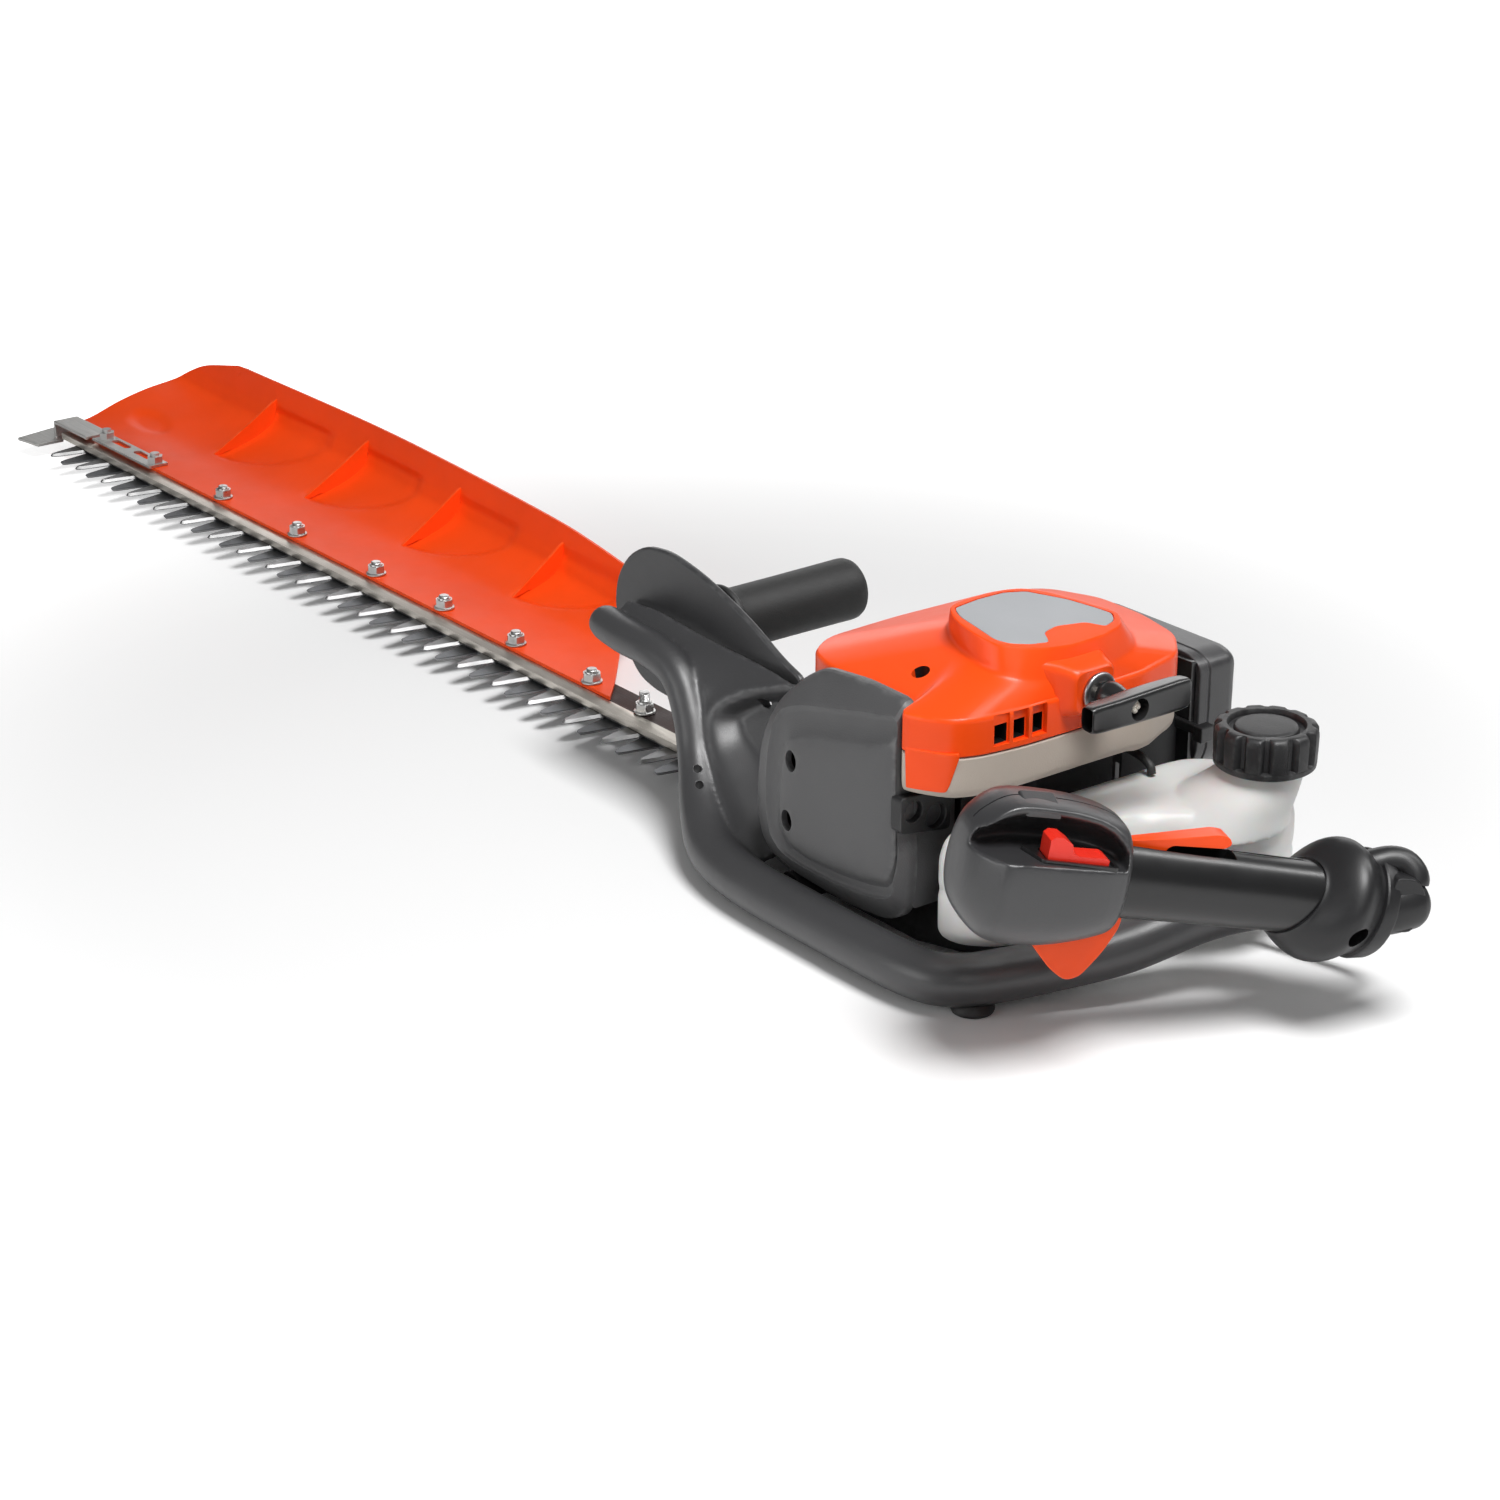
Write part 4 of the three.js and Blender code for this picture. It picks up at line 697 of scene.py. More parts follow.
def blade_outline(shift, drawn_in):
    end = first_tooth + 9.5 + shift
    outline = [(blade_root, blade_back), (end, blade_back), (end, blade_front)]
    for i in range(tooth_count):
        middle = first_tooth - i * tooth_pitch + shift
        for flank, points in ((1, half_tooth), (-1, half_tooth[::-1])):
            for across, y in points:
                reach = across - drawn_in * min(1, across / 3.5)
                outline.append((middle + flank * reach, y - (drawn_in * 0.7 if y > 30 else 0)))
    return outline + [(blade_root, blade_front)]


def stadium(x0, x1, y, radius, steps=8):
    turns = [math.pi * k / steps - math.pi / 2 for k in range(steps + 1)]
    right = [(x1 + radius * math.cos(t), y + radius * math.sin(t)) for t in turns]
    left = [(x0 - radius * math.cos(t), y - radius * math.sin(t)) for t in turns]
    return right + left


bolt_places = (551, 460, 369, 295, 221, 147, 98)


def make_blade(name, shift, rings, towards_tip, towards_root):
    blade = loft(name, [[(x, y, z) for x, y in blade_outline(shift, drawn_in)] for z, drawn_in in rings])
    low = min(z for z, _drawn in rings) - 1
    slots = [
        plate("slot", stadium(x - towards_tip, x + towards_root, 0, 3.4), low, low + 5) for x in bolt_places
    ]
    slots.append(turned("slot", (-77, 0, low), (0, 0, 1), ((0, 4.4), (5, 4.4)), 24))
    combine(blade, slots)
    shade(blade, 20)
    return blade


upper_blade = make_blade("ground_upper_blade", 0, ((12.3, 0), (12.75, 0), (14.3, 1.5)), 10.5, 7)
lower_blade = make_blade("lower_blade_painted_shade", -14, ((10, 1.3), (11.5, 0), (12, 0)), 7, 10.5)
fit(upper_blade, "blade_steel", "blade_steel ground_steel", "upper_blade", body="upper_blade")
# The lower blade takes dark_steel, a step darker than the upper blade's finishes: painted shade for the shadow of
# the upper blade over it.
fit(lower_blade, "dark_steel", "dark_steel blade_steel", "lower_blade", body="lower_blade")
for blade in (upper_blade, lower_blade):
    paint(blade, 1, lambda place, normal: 0.2 < abs(normal.z) < 0.97 and place.y > 11.9)
tell_size(upper_blade)

# %% [markdown]
# A flanged bolt with a lock nut holds the deflector and the bar. It is turned as one stack of rings.
# Where the nut sits, each ring is a hexagon instead of a circle, and the last hexagon is trimmed by
# the chamfer circle, as on a real nut. Fine ridges at the end make the thread.

# %% Bolts
def hexagon(turn, flat):
    return flat / math.cos((turn + math.pi / 6) % (math.pi / 3) - math.pi / 6)


def make_bolt(name, x, seat, stud_top):
    stack = [
        (7.2, 4.6, 0), (7.4, 5.1, 0), (8.5, 6.3, 0), (9.4, 6.4, 0), (9.7, 6.2, 0), (9.7, 3, 0), (seat, 3, 0),
        (seat, 5.8, 0), (seat + 0.3, 6.0, 0), (seat + 1.0, 5.9, 0), (seat + 1.2, 5.4, 0),
        (seat + 1.3, 4.9, 4.68), (seat + 1.7, 6, 4.68), (seat + 5.0, 6, 4.68), (seat + 5.6, 4.9, 4.68),
        (seat + 5.7, 4.0, 0), (seat + 6.4, 3.7, 0), (seat + 6.5, 3.0, 0),
    ]
    ridge = seat + 6.6
    while ridge < stud_top - 0.7:
        stack += [(ridge, 2.65, 0), (ridge + 0.35, 2.95, 0)]
        ridge += 0.7
    stack += [(stud_top - 0.3, 2.9, 0), (stud_top, 2.3, 0)]
    rings = []
    for z, radius, flat in stack:
        reach = [(t, min(radius, hexagon(t, flat)) if flat else radius) for t in circle_turns(36)]
        rings.append([(x + r * math.cos(t), r * math.sin(t), z) for t, r in reach])
    bolt = loft(name, rings)
    shade(bolt, 32)
    return bolt


first_bolt = make_bolt("guard_bolt_1", bolt_places[0], 21.2, 29.2)
for number, place in enumerate(bolt_places[1:6], 2):
    bolt = moved_copy(first_bolt, f"guard_bolt_{number}", (place - bolt_places[0], 0, 0))
    fit(bolt, "zinc_steel", "zinc_plate", f"blade_bolt_{number}")
fit(first_bolt, "zinc_steel", "zinc_plate", "blade_bolt_1")
root_bolt = make_bolt("root_bolt", bolt_places[6], 18.9, 30.9)
fit(root_bolt, "zinc_steel", "zinc_plate", "blade_bolt_7")
print("bolts at", bolt_places)

# %% [markdown]
# The guide bar, the blunt tip guard and the slotted clip are flat steel parts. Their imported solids
# have the right outlines, so copies of them with rounded edges are enough.

# %% Bar, tip guard and clip
oxide_end, oxide_front = 150, 5
guide_bar = refine("guide_bar_steel", "guide_bar", 0.5)
start_editing(guide_bar)
bpy.ops.mesh.bisect(plane_co=(oxide_end * mm, 0, 0), plane_no=(1, 0, 0))
bpy.ops.mesh.select_all(action="SELECT")
bpy.ops.mesh.bisect(plane_co=(0, oxide_front * mm, 0), plane_no=(0, 1, 0))
stop_editing(turn_out=False)
fit(guide_bar, "bar_steel", "bar_steel oxide_steel", "guide_bar")
paint(guide_bar, 1, lambda place, normal: normal.z > 0.9 and place.x < oxide_end and place.y < oxide_front)
fit(refine("blunt_tip_guard", "tip_guard", 0.5), "blade_steel", "tip_steel", "tip_guard")
fit(refine("slotted_clip", "deflector_clip", 0.35), "zinc_steel", "zinc_plate", "deflector_clip")
print("flat steel parts")

# %% [markdown]
# ## The chip deflector
# The orange deflector is one thin moulded sheet. It leaves the bolts flat, bends up into a tall rim,
# and curls at both ends. A grid is laid over that shape, and the hollows beside the ribs are pressed
# into it before Solidify gives it a wall.

# %% Shape of the deflector
deflector_root, deflector_tip = 124, 757
sheet_middle = 19.9
rib_places = (634, 519, 403, 285)
section = (
    (5, 0), (-12, 0), (-37.2, 0), (-58.6, 4.4), (-80, 11.6), (-86.5, 20), (-90.2, 29.6), (-93, 40),
)
near_edge = (-1, 17, 46, 62, 78, 84, 86, 86)
far_edge = (0, 0, 0, 0, 2, 12, 31, 69)
far_lift = (0, 0, 8, 8.5, 5, 3.5, 2, -0.4)


def soft_step(value):
    value = min(1, max(0, value))
    return value * value * (3 - 2 * value)


def width_lost(x):
    return 0.13 * max(0, 520 - x) / 240


def height_lost(x):
    return 0.06 * max(0, 403 - x) / 118


def deflector_stop(column, row):
    y, rise = section[column]
    near = deflector_root + near_edge[column]
    far = deflector_tip - far_edge[column]
    stops = (near, (near + 300) / 2, 300, 403, 519, 665, (665 + far) / 2, (665 + 3 * far) / 4, far)
    x = stops[row]
    curl = {6: 0.3, 7: 0.6, 8: 1.0}.get(row, 0) * far_lift[column]
    narrow = 1 - width_lost(x) * (1 if y < -40 else 0.3)
    low = 1 - height_lost(x) - 0.17 * soft_step((290 - x) / 90)
    return (x, y if y > 0 else y * narrow, sheet_middle + rise * low + curl)


def hollow_depth(x, y, rise):
    depth = 0
    for rib in rib_places:
        from_rib = (rib + 3 - x) / 78
        from_rim = (y + 92) / 52
        if from_rib > 0 and rise < 27:
            inside = soft_step((1 - math.hypot(from_rib, from_rim)) / 0.10)
            depth = max(depth, 2.6 * inside * soft_step(from_rib / 0.03) * soft_step((27 - rise) / 7))
    far_dish = 1 - math.hypot((x - 716) / 26, (y + 38) / 12)
    return max(depth, 1.6 * soft_step(far_dish / 0.5))


print("deflector", deflector_tip - deflector_root, "mm long")

# %% [markdown]
# The sheet is a grid with rows along the bar and columns across it. Smooth curves run through the
# stops both ways. Four thin ribs then stand between the flat part and the rim.

# %% Deflector sheet
def make_grid(name, wide, long, place):
    choose()
    bpy.ops.mesh.primitive_grid_add(x_subdivisions=wide - 1, y_subdivisions=long - 1, size=1)
    sheet = named(bpy.context.object, name)
    for vertex in sheet.data.vertices:
        column, row = round((vertex.co.x + 0.5) * (wide - 1)), round((vertex.co.y + 0.5) * (long - 1))
        vertex.co = Vector(place(column, row)) * mm
    start_editing(sheet)
    stop_editing()
    return sheet


def make_deflector():
    rows = [smooth_path([deflector_stop(column, row) for column in range(8)], 8) for row in range(9)]
    columns = [smooth_path([row[k] for row in rows], 26) for k in range(len(rows[0]))]

    def pressed(column, row):
        x, y, z = columns[column][row]
        depth = hollow_depth(x, y, z - sheet_middle)
        lean = soft_step((-y - 66) / 24)
        return (x, y - depth * lean, z - depth * (1 - lean))

    sheet = make_grid("moulded_chip_deflector", len(columns), len(columns[0]), pressed)
    if sheet.data.polygons[0].normal.z < 0:
        start_editing(sheet)
        bpy.ops.mesh.flip_normals()
        stop_editing(turn_out=False)
    apply_modifier(sheet, "SOLIDIFY", thickness=2 * mm, offset=0)
    shade(sheet, 50)
    return sheet


deflector = make_deflector()


# A rib's foot follows the sheet, and its top edge hangs in a shallow curve up to the rim.
def make_rib(number, x):
    narrow, low = 1 - width_lost(x), 1 - height_lost(x)
    points = smooth_path(section, 6)
    foot = [
        (y * (narrow if y < -40 else 1 - (1 - narrow) * 0.3), sheet_middle + rise * low) for y, rise in points
    ]
    foot = [(y, z) for y, z in foot if -91 * narrow < y < -36 and z < sheet_middle + 34 * low]
    start, end = foot[0], foot[-1]
    crest = []
    for t in [k / 12 for k in range(1, 12)]:
        sag = 2.6 * math.sin(math.pi * t)
        y, z = end[0] + (start[0] - end[0]) * t, end[1] + (start[1] - end[1]) * t
        crest.append((y + sag * 0.5, z - sag * 0.6))
    outline = []
    for y, z in foot:
        sunk = 2.6 * soft_step((-y - 50) / 10) * soft_step((sheet_middle + 24 - z) / 6)
        outline.append((y - 0.3, z - 0.6 - sunk))
    rib = plate(f"deflector_rib_{number}", outline + crest, x - 1.1, x + 1.1, "X")
    soften(rib, 0.45, 2)
    return rib


ribs = [make_rib(number, x) for number, x in enumerate(rib_places, 1)]
deflector = join_pieces("moulded_chip_deflector", deflector, *ribs)
fit(deflector, "orange_shell", "orange_sheet", "chip_deflector")
print("deflector faces", len(deflector.data.polygons))

# %% [markdown]
# ## The engine covers
# The starter housing is the orange roof of the engine. It is one loft: a straight wall, a crisp
# shoulder, a sloping bench, a steeper tower and a table on top that leans a little to the rear. Three
# outlines with the same number of corners set its form. Rings between them are plain mixes of two.

# %% Starter housing
housing_centre = Vector((-170, -12))
wall_outline = [
    (-203.2, 65.8), (-203.4, 78.4), (-215, 74), (-227, 66.4), (-232.5, 54), (-235.6, 30), (-236.2, 0),
    (-235, -45), (-228, -74), (-209, -91), (-180, -97.5), (-150, -97.5), (-124, -86), (-111, -64), (-108, 0),
    (-110, 44), (-120, 60), (-138, 65.8),
]
foot_outline = [
    (-193, 31.5, 149), (-203, 34, 148), (-211, 34.5, 147), (-219, 33, 146), (-226, 27, 145),
    (-230.5, 16, 143.5), (-233, 0, 142.5), (-232.5, -28, 143), (-228, -46, 144), (-214, -56, 145.5),
    (-196, -55, 147), (-180, -46, 149), (-168, -34, 151), (-163, -20, 152), (-162, -4, 152.5), (-162, 8, 152),
    (-166, 17, 151.5), (-179, 26, 150),
]
rim_outline = [
    (-191.4, 31.3), (-200, 31.6), (-208, 31.2), (-216, 29.2), (-223, 20.5), (-227.6, 11), (-230.8, -2),
    (-230.4, -23), (-226.8, -37.2), (-217, -44.4), (-202, -37), (-186, -27.7), (-177.9, -19.6), (-174.8, -10),
    (-174, 0.8), (-174, 15.6), (-176, 24.6), (-183, 29),
]
table_middle = Vector((-201, -4))


def table_height(x):
    return 156 + 0.16 * (x + 235)


soft_wall, soft_rim = rounded(wall_outline, 7, 3), rounded(rim_outline, 3.6, 3)


def wall_ring(z, grow=0):
    return [Vector((*pushed(point, housing_centre, grow), z)) for point in soft_wall]


def table_ring(share, sink=0):
    spots = [table_middle + (point - table_middle) * share for point in soft_rim]
    return [Vector((*spot, table_height(spot.x) - sink)) for spot in spots]


def mixed(first, second, share):
    return [a.lerp(b, share) for a, b in zip(first, second)]


shoulder, foot_ring, rim_ring = wall_ring(135.2, -1.6), rounded(foot_outline, 6, 3), table_ring(1, 0.5)
guides = [shoulder] + [mixed(shoulder, foot_ring, share) for share in (0.3, 0.6, 0.93)]
guides += [mixed(foot_ring, rim_ring, share) for share in (0.12, 0.4, 0.7)] + [rim_ring]
tracks = [smooth_path([guide[k] for guide in guides], 4) for k in range(len(shoulder))]
roof_rings = [[track[k] for track in tracks] for k in range(len(tracks[0]))]
wall_rows = ((116.6, -0.6), (117.2, 0), (125, 0), (132.4, 0), (133.9, -0.3), (134.8, -0.9))
table_rows = ((0.99, 0.1), (0.97, 0), (0.5, 0))
shell_rings = [wall_ring(*row) for row in wall_rows] + roof_rings
shell_rings += [table_ring(*row) for row in table_rows]
starter_shell = loft("starter_shell", shell_rings)
tell_size(starter_shell)

# %% [markdown]
# The rope leaves through a short spout at the rear. Three square windows let cooling air in beside
# it, a deep round well holds a screw, and a tab hangs down over the lighter fan housing. The spout and
# the tab are joined to the shell with a Boolean, and the holes are cut with one, together with a
# shallow pocket for the badge.

# %% Spout, tab, windows and well
def spout_ring(x, left, right, low, high, corner):
    outline = rounded([(right, low), (left, low), (left, high), (right, high)], corner, 5)
    return [(x, y, z) for y, z in outline]


spout = loft_of("spout", spout_ring, (
    (-218, 18, -25, 122, 152, 4), (-228, 15, -22.5, 123, 151.2, 4.5), (-234, 10.4, -20.4, 124.4, 150.4, 5),
    (-239.4, 7.4, -18.8, 125.6, 149.2, 5), (-242, 6.4, -18.2, 126.4, 148.4, 5),
    (-243, 5.2, -17.2, 127.6, 147.2, 4.6),
))
tab_places = (
    (-207.4, 77.1), (-216.4, 73.7), (-226.6, 67.7), (-229.6, 63.2), (-226, 61), (-215.6, 69), (-207.4, 72),
)
tab_inward = ((-1.6, 0.4), (0, 0), (3.4, 1.7), (4.6, 4.2), (3, 3.4), (0, 0), (-1.6, 0))
tab = loft("tab", [
    [(x + dx * share, y + dy * share, z) for (x, y), (dx, dy) in zip(tab_places, tab_inward)]
    for z, share in ((119, 0), (117, 0), (110, 0.35), (103, 0.7), (100.2, 0.9), (99.4, 1.1))
])
soften(tab, 0.8, 2, 30)
combine(starter_shell, [spout, tab], "UNION")


def block(name, low, high):
    outline = [(low[0], low[1]), (high[0], low[1]), (high[0], high[1]), (low[0], high[1])]
    return plate(name, outline, low[2], high[2])


window_places = (42.4, 31.6, 20.8)
recesses = [block("recess", (-245, y - 4.4, 119.6), (-233.1, y + 4.4, 134.4)) for y in window_places]
windows = [block("window", (-245, y - 3.7, 120.6), (-225, y + 3.7, 129.6)) for y in window_places]
well = turned("well", (-185, 46.6, 130), (0, 0.2, 1), ((0, 4.4), (30, 4.4)), 32)
outlet = turned("outlet", (-232, -7, 136.6), (-1, 0, 0), ((0, 7.8), (12, 7.8)))
badge_outline = rounded([
    (-178.6, 23.4), (-185.7, 26.4), (-210.4, 26.6), (-216.4, 23), (-221.4, 14.6), (-223.6, 5.4), (-215.6, 1.4),
    (-213.4, -7.6), (-217, -22.6), (-224.4, -28.6), (-221.8, -36.8), (-216.2, -40.6), (-209.4, -37.8),
    (-196.1, -31), (-181, -18.4), (-177.2, -8), (-176.8, 8),
], 2.2, 3)


def badge_ring(grow, lift):
    spots = [pushed(point, table_middle, grow) for point in badge_outline]
    return [(*spot, table_height(spot.x) + lift) for spot in spots]


badge_pocket = loft_of("badge_pocket", badge_ring, ((0.5, -0.9), (0.5, 2)))
combine(starter_shell, recesses + windows + [well, outlet, badge_pocket])
soften(starter_shell, 0.45, 2, 34, 32)
fit(starter_shell, "orange_shell", "orange_shell black_shell", "starter_housing")


# The walls inside the three windows and the screw well take the black finish: painted shade for the dark inside
# those holes.
def in_painted_shade(place, normal):
    beside_window = any(abs(place.y - y) < 4.2 for y in window_places)
    in_window = -232.9 < place.x < -224 and 120 < place.z < 130 and beside_window
    return in_window or (Vector((place.x + 185, place.y - 45.5)).length < 4.9 and place.z < 138)


paint(starter_shell, 1, in_painted_shade)
print("shell faces", len(starter_shell.data.polygons))

# %% [markdown]
# The badge on the table is left bare. It is a thin silver plate with a notch in the edge that faces
# the rear, glued into the pocket. Its rings follow the lean of the table.

# %% Bare badge plate
badge = loft_of("bare_badge_plate", badge_ring, ((0, -0.85), (0, -0.2), (-0.3, 0)))
soften(badge, 0.25, 2)
fit(badge, "zinc_steel", "plate_silver")
tell_size(badge)

# %% [markdown]
# The fan housing under it is sand-coloured, with a rolled lower edge. A soft vertical rib marks where
# its screw post stands.

# %% Fan housing
def fan_ring(z, grow):
    ring = []
    for spot in wall_ring(z, grow):
        post = max(0, 1 - abs(spot.y + 46) / 12) if spot.x < -200 else 0
        ring.append((spot.x - 3.2 * soft_step(post * 1.6), spot.y, z))
    return ring


fan_rows = (
    (95.6, -9), (95.3, -6), (95.5, -4.2), (96.4, -2.4), (98.2, -0.9), (100.8, -0.3), (107, -0.1),
    (115.2, -0.1), (115.9, -0.7), (115.9, -4), (99.5, -4), (98.6, -9),
)
fan_shell = loft("fan_shell", [fan_ring(*row) for row in fan_rows], closed=False)
start_editing(fan_shell)
bpy.ops.mesh.select_all(action="DESELECT")
bpy.ops.mesh.select_non_manifold()
bpy.ops.mesh.bridge_edge_loops()
stop_editing()
shade(fan_shell, 30)
fan_floor = turned("fan_floor", (-170, -12, 96), (0, 0, 1), ((0, 62), (2.2, 62)), 48)
join_pieces("fan_shell", fan_shell, fan_floor)
fit(fan_shell, "sand_shell", "sand_shell", "fan_housing")
tell_size(fan_shell)

# %% [markdown]
# The muffler cover is a deep grey box. Three outlines set its outer face: the box itself, a crease
# inside it, and a pad. The rim slopes up to the crease, a shallow channel lies behind it, and the pad
# swells out of the channel. The three meet at the rear edge, so it stays a crisp corner.

# %% Muffler cover
cover_outline = rounded([
    (-202.9, 137.8), (-171.6, 138.3), (-141.3, 135.2), (-127, 126.4), (-110, 111), (-99.5, 96.5), (-93.6, 81),
    (-91.2, 61.5), (-91.4, 45), (-95, 33.5), (-103, 26.8), (-120.6, 22.9), (-160, 21), (-190, 23.6),
    (-204, 32), (-206.4, 60), (-203, 100),
], 6, 3)
crease_outline = rounded([
    (-202.6, 131.4), (-178.4, 126.7), (-145, 118.6), (-131.6, 115.3), (-117.1, 109), (-111, 98), (-107.6, 84),
    (-106.2, 67), (-107, 51), (-110, 40.6), (-117, 35), (-132.3, 33), (-157, 33), (-184, 35.4), (-200, 40),
    (-204.2, 62), (-202.6, 100),
], 5, 3)
pad_outline = rounded([
    (-202.2, 120), (-182.3, 113.2), (-150, 105.8), (-135.5, 101.8), (-124, 96), (-120.8, 87), (-119.4, 78),
    (-118.2, 67), (-117.6, 56), (-119.3, 47.7), (-126, 41.8), (-141, 40.2), (-160, 41.4), (-184, 44.3),
    (-198, 48), (-203.2, 62), (-202.2, 100),
], 4, 3)
pad_middle = Vector((-160, 80))


def cover_ring(y, share, inset=0):
    ring = []
    for outer, crease, inner in zip(cover_outline, crease_outline, pad_outline):
        spot = outer.lerp(crease, share) if share < 1 else crease.lerp(inner, share - 1)
        x, z = pushed(spot, pad_middle, -inset)
        ring.append((x, y, z))
    return ring


cover = loft_of("muffler_shell", cover_ring, (
    (66.4, 0, 2.6), (66.4, 0, 0.4), (66.9, 0), (69.2, 0), (70.8, 0.05), (72.2, 0.18), (73.6, 0.4),
    (76.6, 0.86), (77.3, 1), (76.4, 1.1), (75.9, 1.25), (76.2, 1.65), (77.8, 1.95), (78.4, 2, 0.6),
    (79, 2, 2.4), (79.6, 2, 7), (80, 2, 14), (80, 2, 22),
))
hollow = loft_of("hollow", cover_ring, ((64, 0, 2.6), (70.6, 0, 3.2), (72.6, 0.5, 3), (75.6, 2, 4)))
cover_holes = []
for x, z in ((-128, 86), (-125, 54.4)):
    hole = [(x + 4.4 * math.cos(t), z + 5.4 * math.sin(t)) for t in circle_turns(28)]
    cover_holes.append(plate("hole", hole, 70, 90, "Y"))
combine(cover, [hollow] + cover_holes)
soften(cover, 0.35, 2, 40, 24)
print("cover faces", len(cover.data.polygons))

# %% [markdown]
# A cheek closes the cover towards the rear, with a dark lug for the cover screw. The stand-off behind
# the cover rests on the muffler. A thin black liner behind the holes is painted shade: it shuts them off
# from the daylight and makes them read dark.

# %% Rear cheek of the cover
cheek = plate("cheek", rounded([(43.4, 34), (68, 34), (68, 93), (43.4, 93)], 2.5, 3), -204.8, -202, "X")
block_outline = rounded([(49, 71), (79.4, 76), (79.4, 94), (49, 92)], 3, 3)
screw_block = plate("screw_block", block_outline, -208.4, -201, "X")
screw_well = turned("screw_well", (-209, 58, 80), (1, 0, 0), ((0, 6), (6.6, 6)), 32)
key_well = turned("key_well", (-209, 71.5, 85.5), (1, 0, 0), ((0, 5.2), (5, 5.2)), 32)
combine(screw_block, [screw_well, key_well])
soften(screw_block, 0.7, 3)
soften(cheek, 0.5, 2)
fit(screw_block, "black_shell", "cap_black")
stand_off = turned("stand_off", (-132, 64, 70), (0, 1, 0), ((0, 4.6), (0.4, 5), (15, 5)), 28)
# A black sheet behind the holes: painted shade, so they read dark.
painted_shade_liner = plate("cover_painted_shade_liner", [(spot[0], spot[2]) for spot in cover_ring(0, 0, 5)], 64.6, 65.4, "Y")
fit(painted_shade_liner, "black_shell", "cap_black")
cover = join_pieces("muffler_shell", cover, cheek, stand_off)
fit(cover, "grey_shell", "grey_shell", "muffler_cover")
fit(refine("cover_screw_head", "cover_screw", 0.3), "dark_steel", "dark_steel", "cover_screw")
tell_size(cover)

# %% [markdown]
# ## The starter grip and its rope
# The pull grip is a short bar, deep in the middle and pinched towards both ends. It is lofted along
# its length. Its middle has a round pocket for the knot, and the end that faces the user is cored out,
# as thick moulded plastic always is.

# %% Pull grip
rope_y, rope_z = -8, 136


def pull_ring(y, tall, back, front):
    pinched = tall * 0.86
    outline = [
        (back, rope_z - tall), (front, rope_z - pinched), (front, rope_z + pinched), (back, rope_z + tall),
    ]
    return [(x, rope_y + y, z) for x, z in rounded(outline, 3.0, 5)]


pull_grip = loft_of("pull_grip", pull_ring, (
    (-33.4, 5.0, -268.4, -262.6), (-33.0, 6.6, -269.4, -261.6), (-31.6, 7.5, -270.1, -260.8),
    (-26, 7.8, -270.4, -259.8), (-14, 7.6, -270.6, -259.0), (0, 7.3, -270.6, -258.6),
    (12, 7.0, -270.5, -258.9), (21, 6.9, -270.2, -259.4), (25.6, 6.7, -269.9, -260.2),
    (27.2, 6.2, -269.4, -261.0), (27.6, 5.4, -268.8, -262.0),
))
knot_pocket = turned("knot_pocket", (-272, rope_y, rope_z), (1, 0, 0), ((0, 5.4), (7.4, 5.0)), 32)
end_outline = rounded([(-268.6, 130.6), (-261.6, 130.6), (-261.6, 141.4), (-268.6, 141.4)], 1.8, 3)
end_pocket = plate("end_pocket", end_outline, 8, 22, "Y")
combine(pull_grip, [knot_pocket, end_pocket])
soften(pull_grip, 0.35, 2, 40, 32)
grip_neck = turned("grip_neck", (-246.7, rope_y, rope_z), (-1, 0, 0), (
    (0, 2.3), (0, 5.2), (0.5, 6.3), (2, 7.1), (4.2, 7.4), (7, 7.1), (10, 6.3), (13, 5.6),
), 36)
shade(grip_neck, 50)
pull_grip = join_pieces("pull_grip", pull_grip, grip_neck)
fit(pull_grip, "black_shell", "black_shell", "starter_handle", body="starter_handle")
tell_size(pull_grip)

# %% [markdown]
# The rope runs from the pulley through the outlet ring into the grip, and ends in a small knot.

# %% Rope, knot and outlet ring
rope = tube("starter_cord", with_radius([(x, rope_y, rope_z) for x in (-208, -225, -245, -266)], 1.7), 14)
knot_path = []
for k in range(13):
    t = 2 * math.pi * k / 12
    reach = 1.5 + 0.7 * math.cos(3 * t)
    knot_path.append((
        -266.3 - 1.1 * math.sin(3 * t), rope_y + reach * math.cos(2 * t), rope_z + reach * math.sin(2 * t),
    ))
knot = tube("knot", with_radius(knot_path, 1.15), 10)
rope = join_pieces("starter_cord", rope, knot)
shade(rope, 60)
rope.data.materials.clear()
rope.data.materials.append(finish["rope_white"])
mark_edges(rope)
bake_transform(rope)
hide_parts("starter_rope")
ring = turned("outlet_ring", (-241.5, rope_y + 1, rope_z + 0.6), (-1, 0, 0), (
    (0, 3.4), (0, 7.9), (1.7, 8.8), (3.2, 9.7), (4.2, 9.5), (4.7, 8.6), (4.6, 7.4), (3.4, 5.8), (2.2, 4.6),
    (1.4, 3.4),
), 44)
shade(ring, 50)
fit(ring, "zinc_steel", "ring_steel", "rope_eyelet")
print("rope and ring")

# %% [markdown]
# ## The fuel tank
# The tank is blow moulded, so every edge on it is soft. A body, a sloping shoulder and a neck are
# lofted apart, and Remesh wraps one skin over all three. A Smooth modifier then melts the joints.

# %% Tank
def melt(piece, voxel, rounds):
    apply_modifier(piece, "REMESH", mode="VOXEL", voxel_size=voxel * mm)
    apply_modifier(piece, "SMOOTH", factor=0.5, iterations=rounds)
    choose(piece)
    bpy.ops.object.shade_smooth()


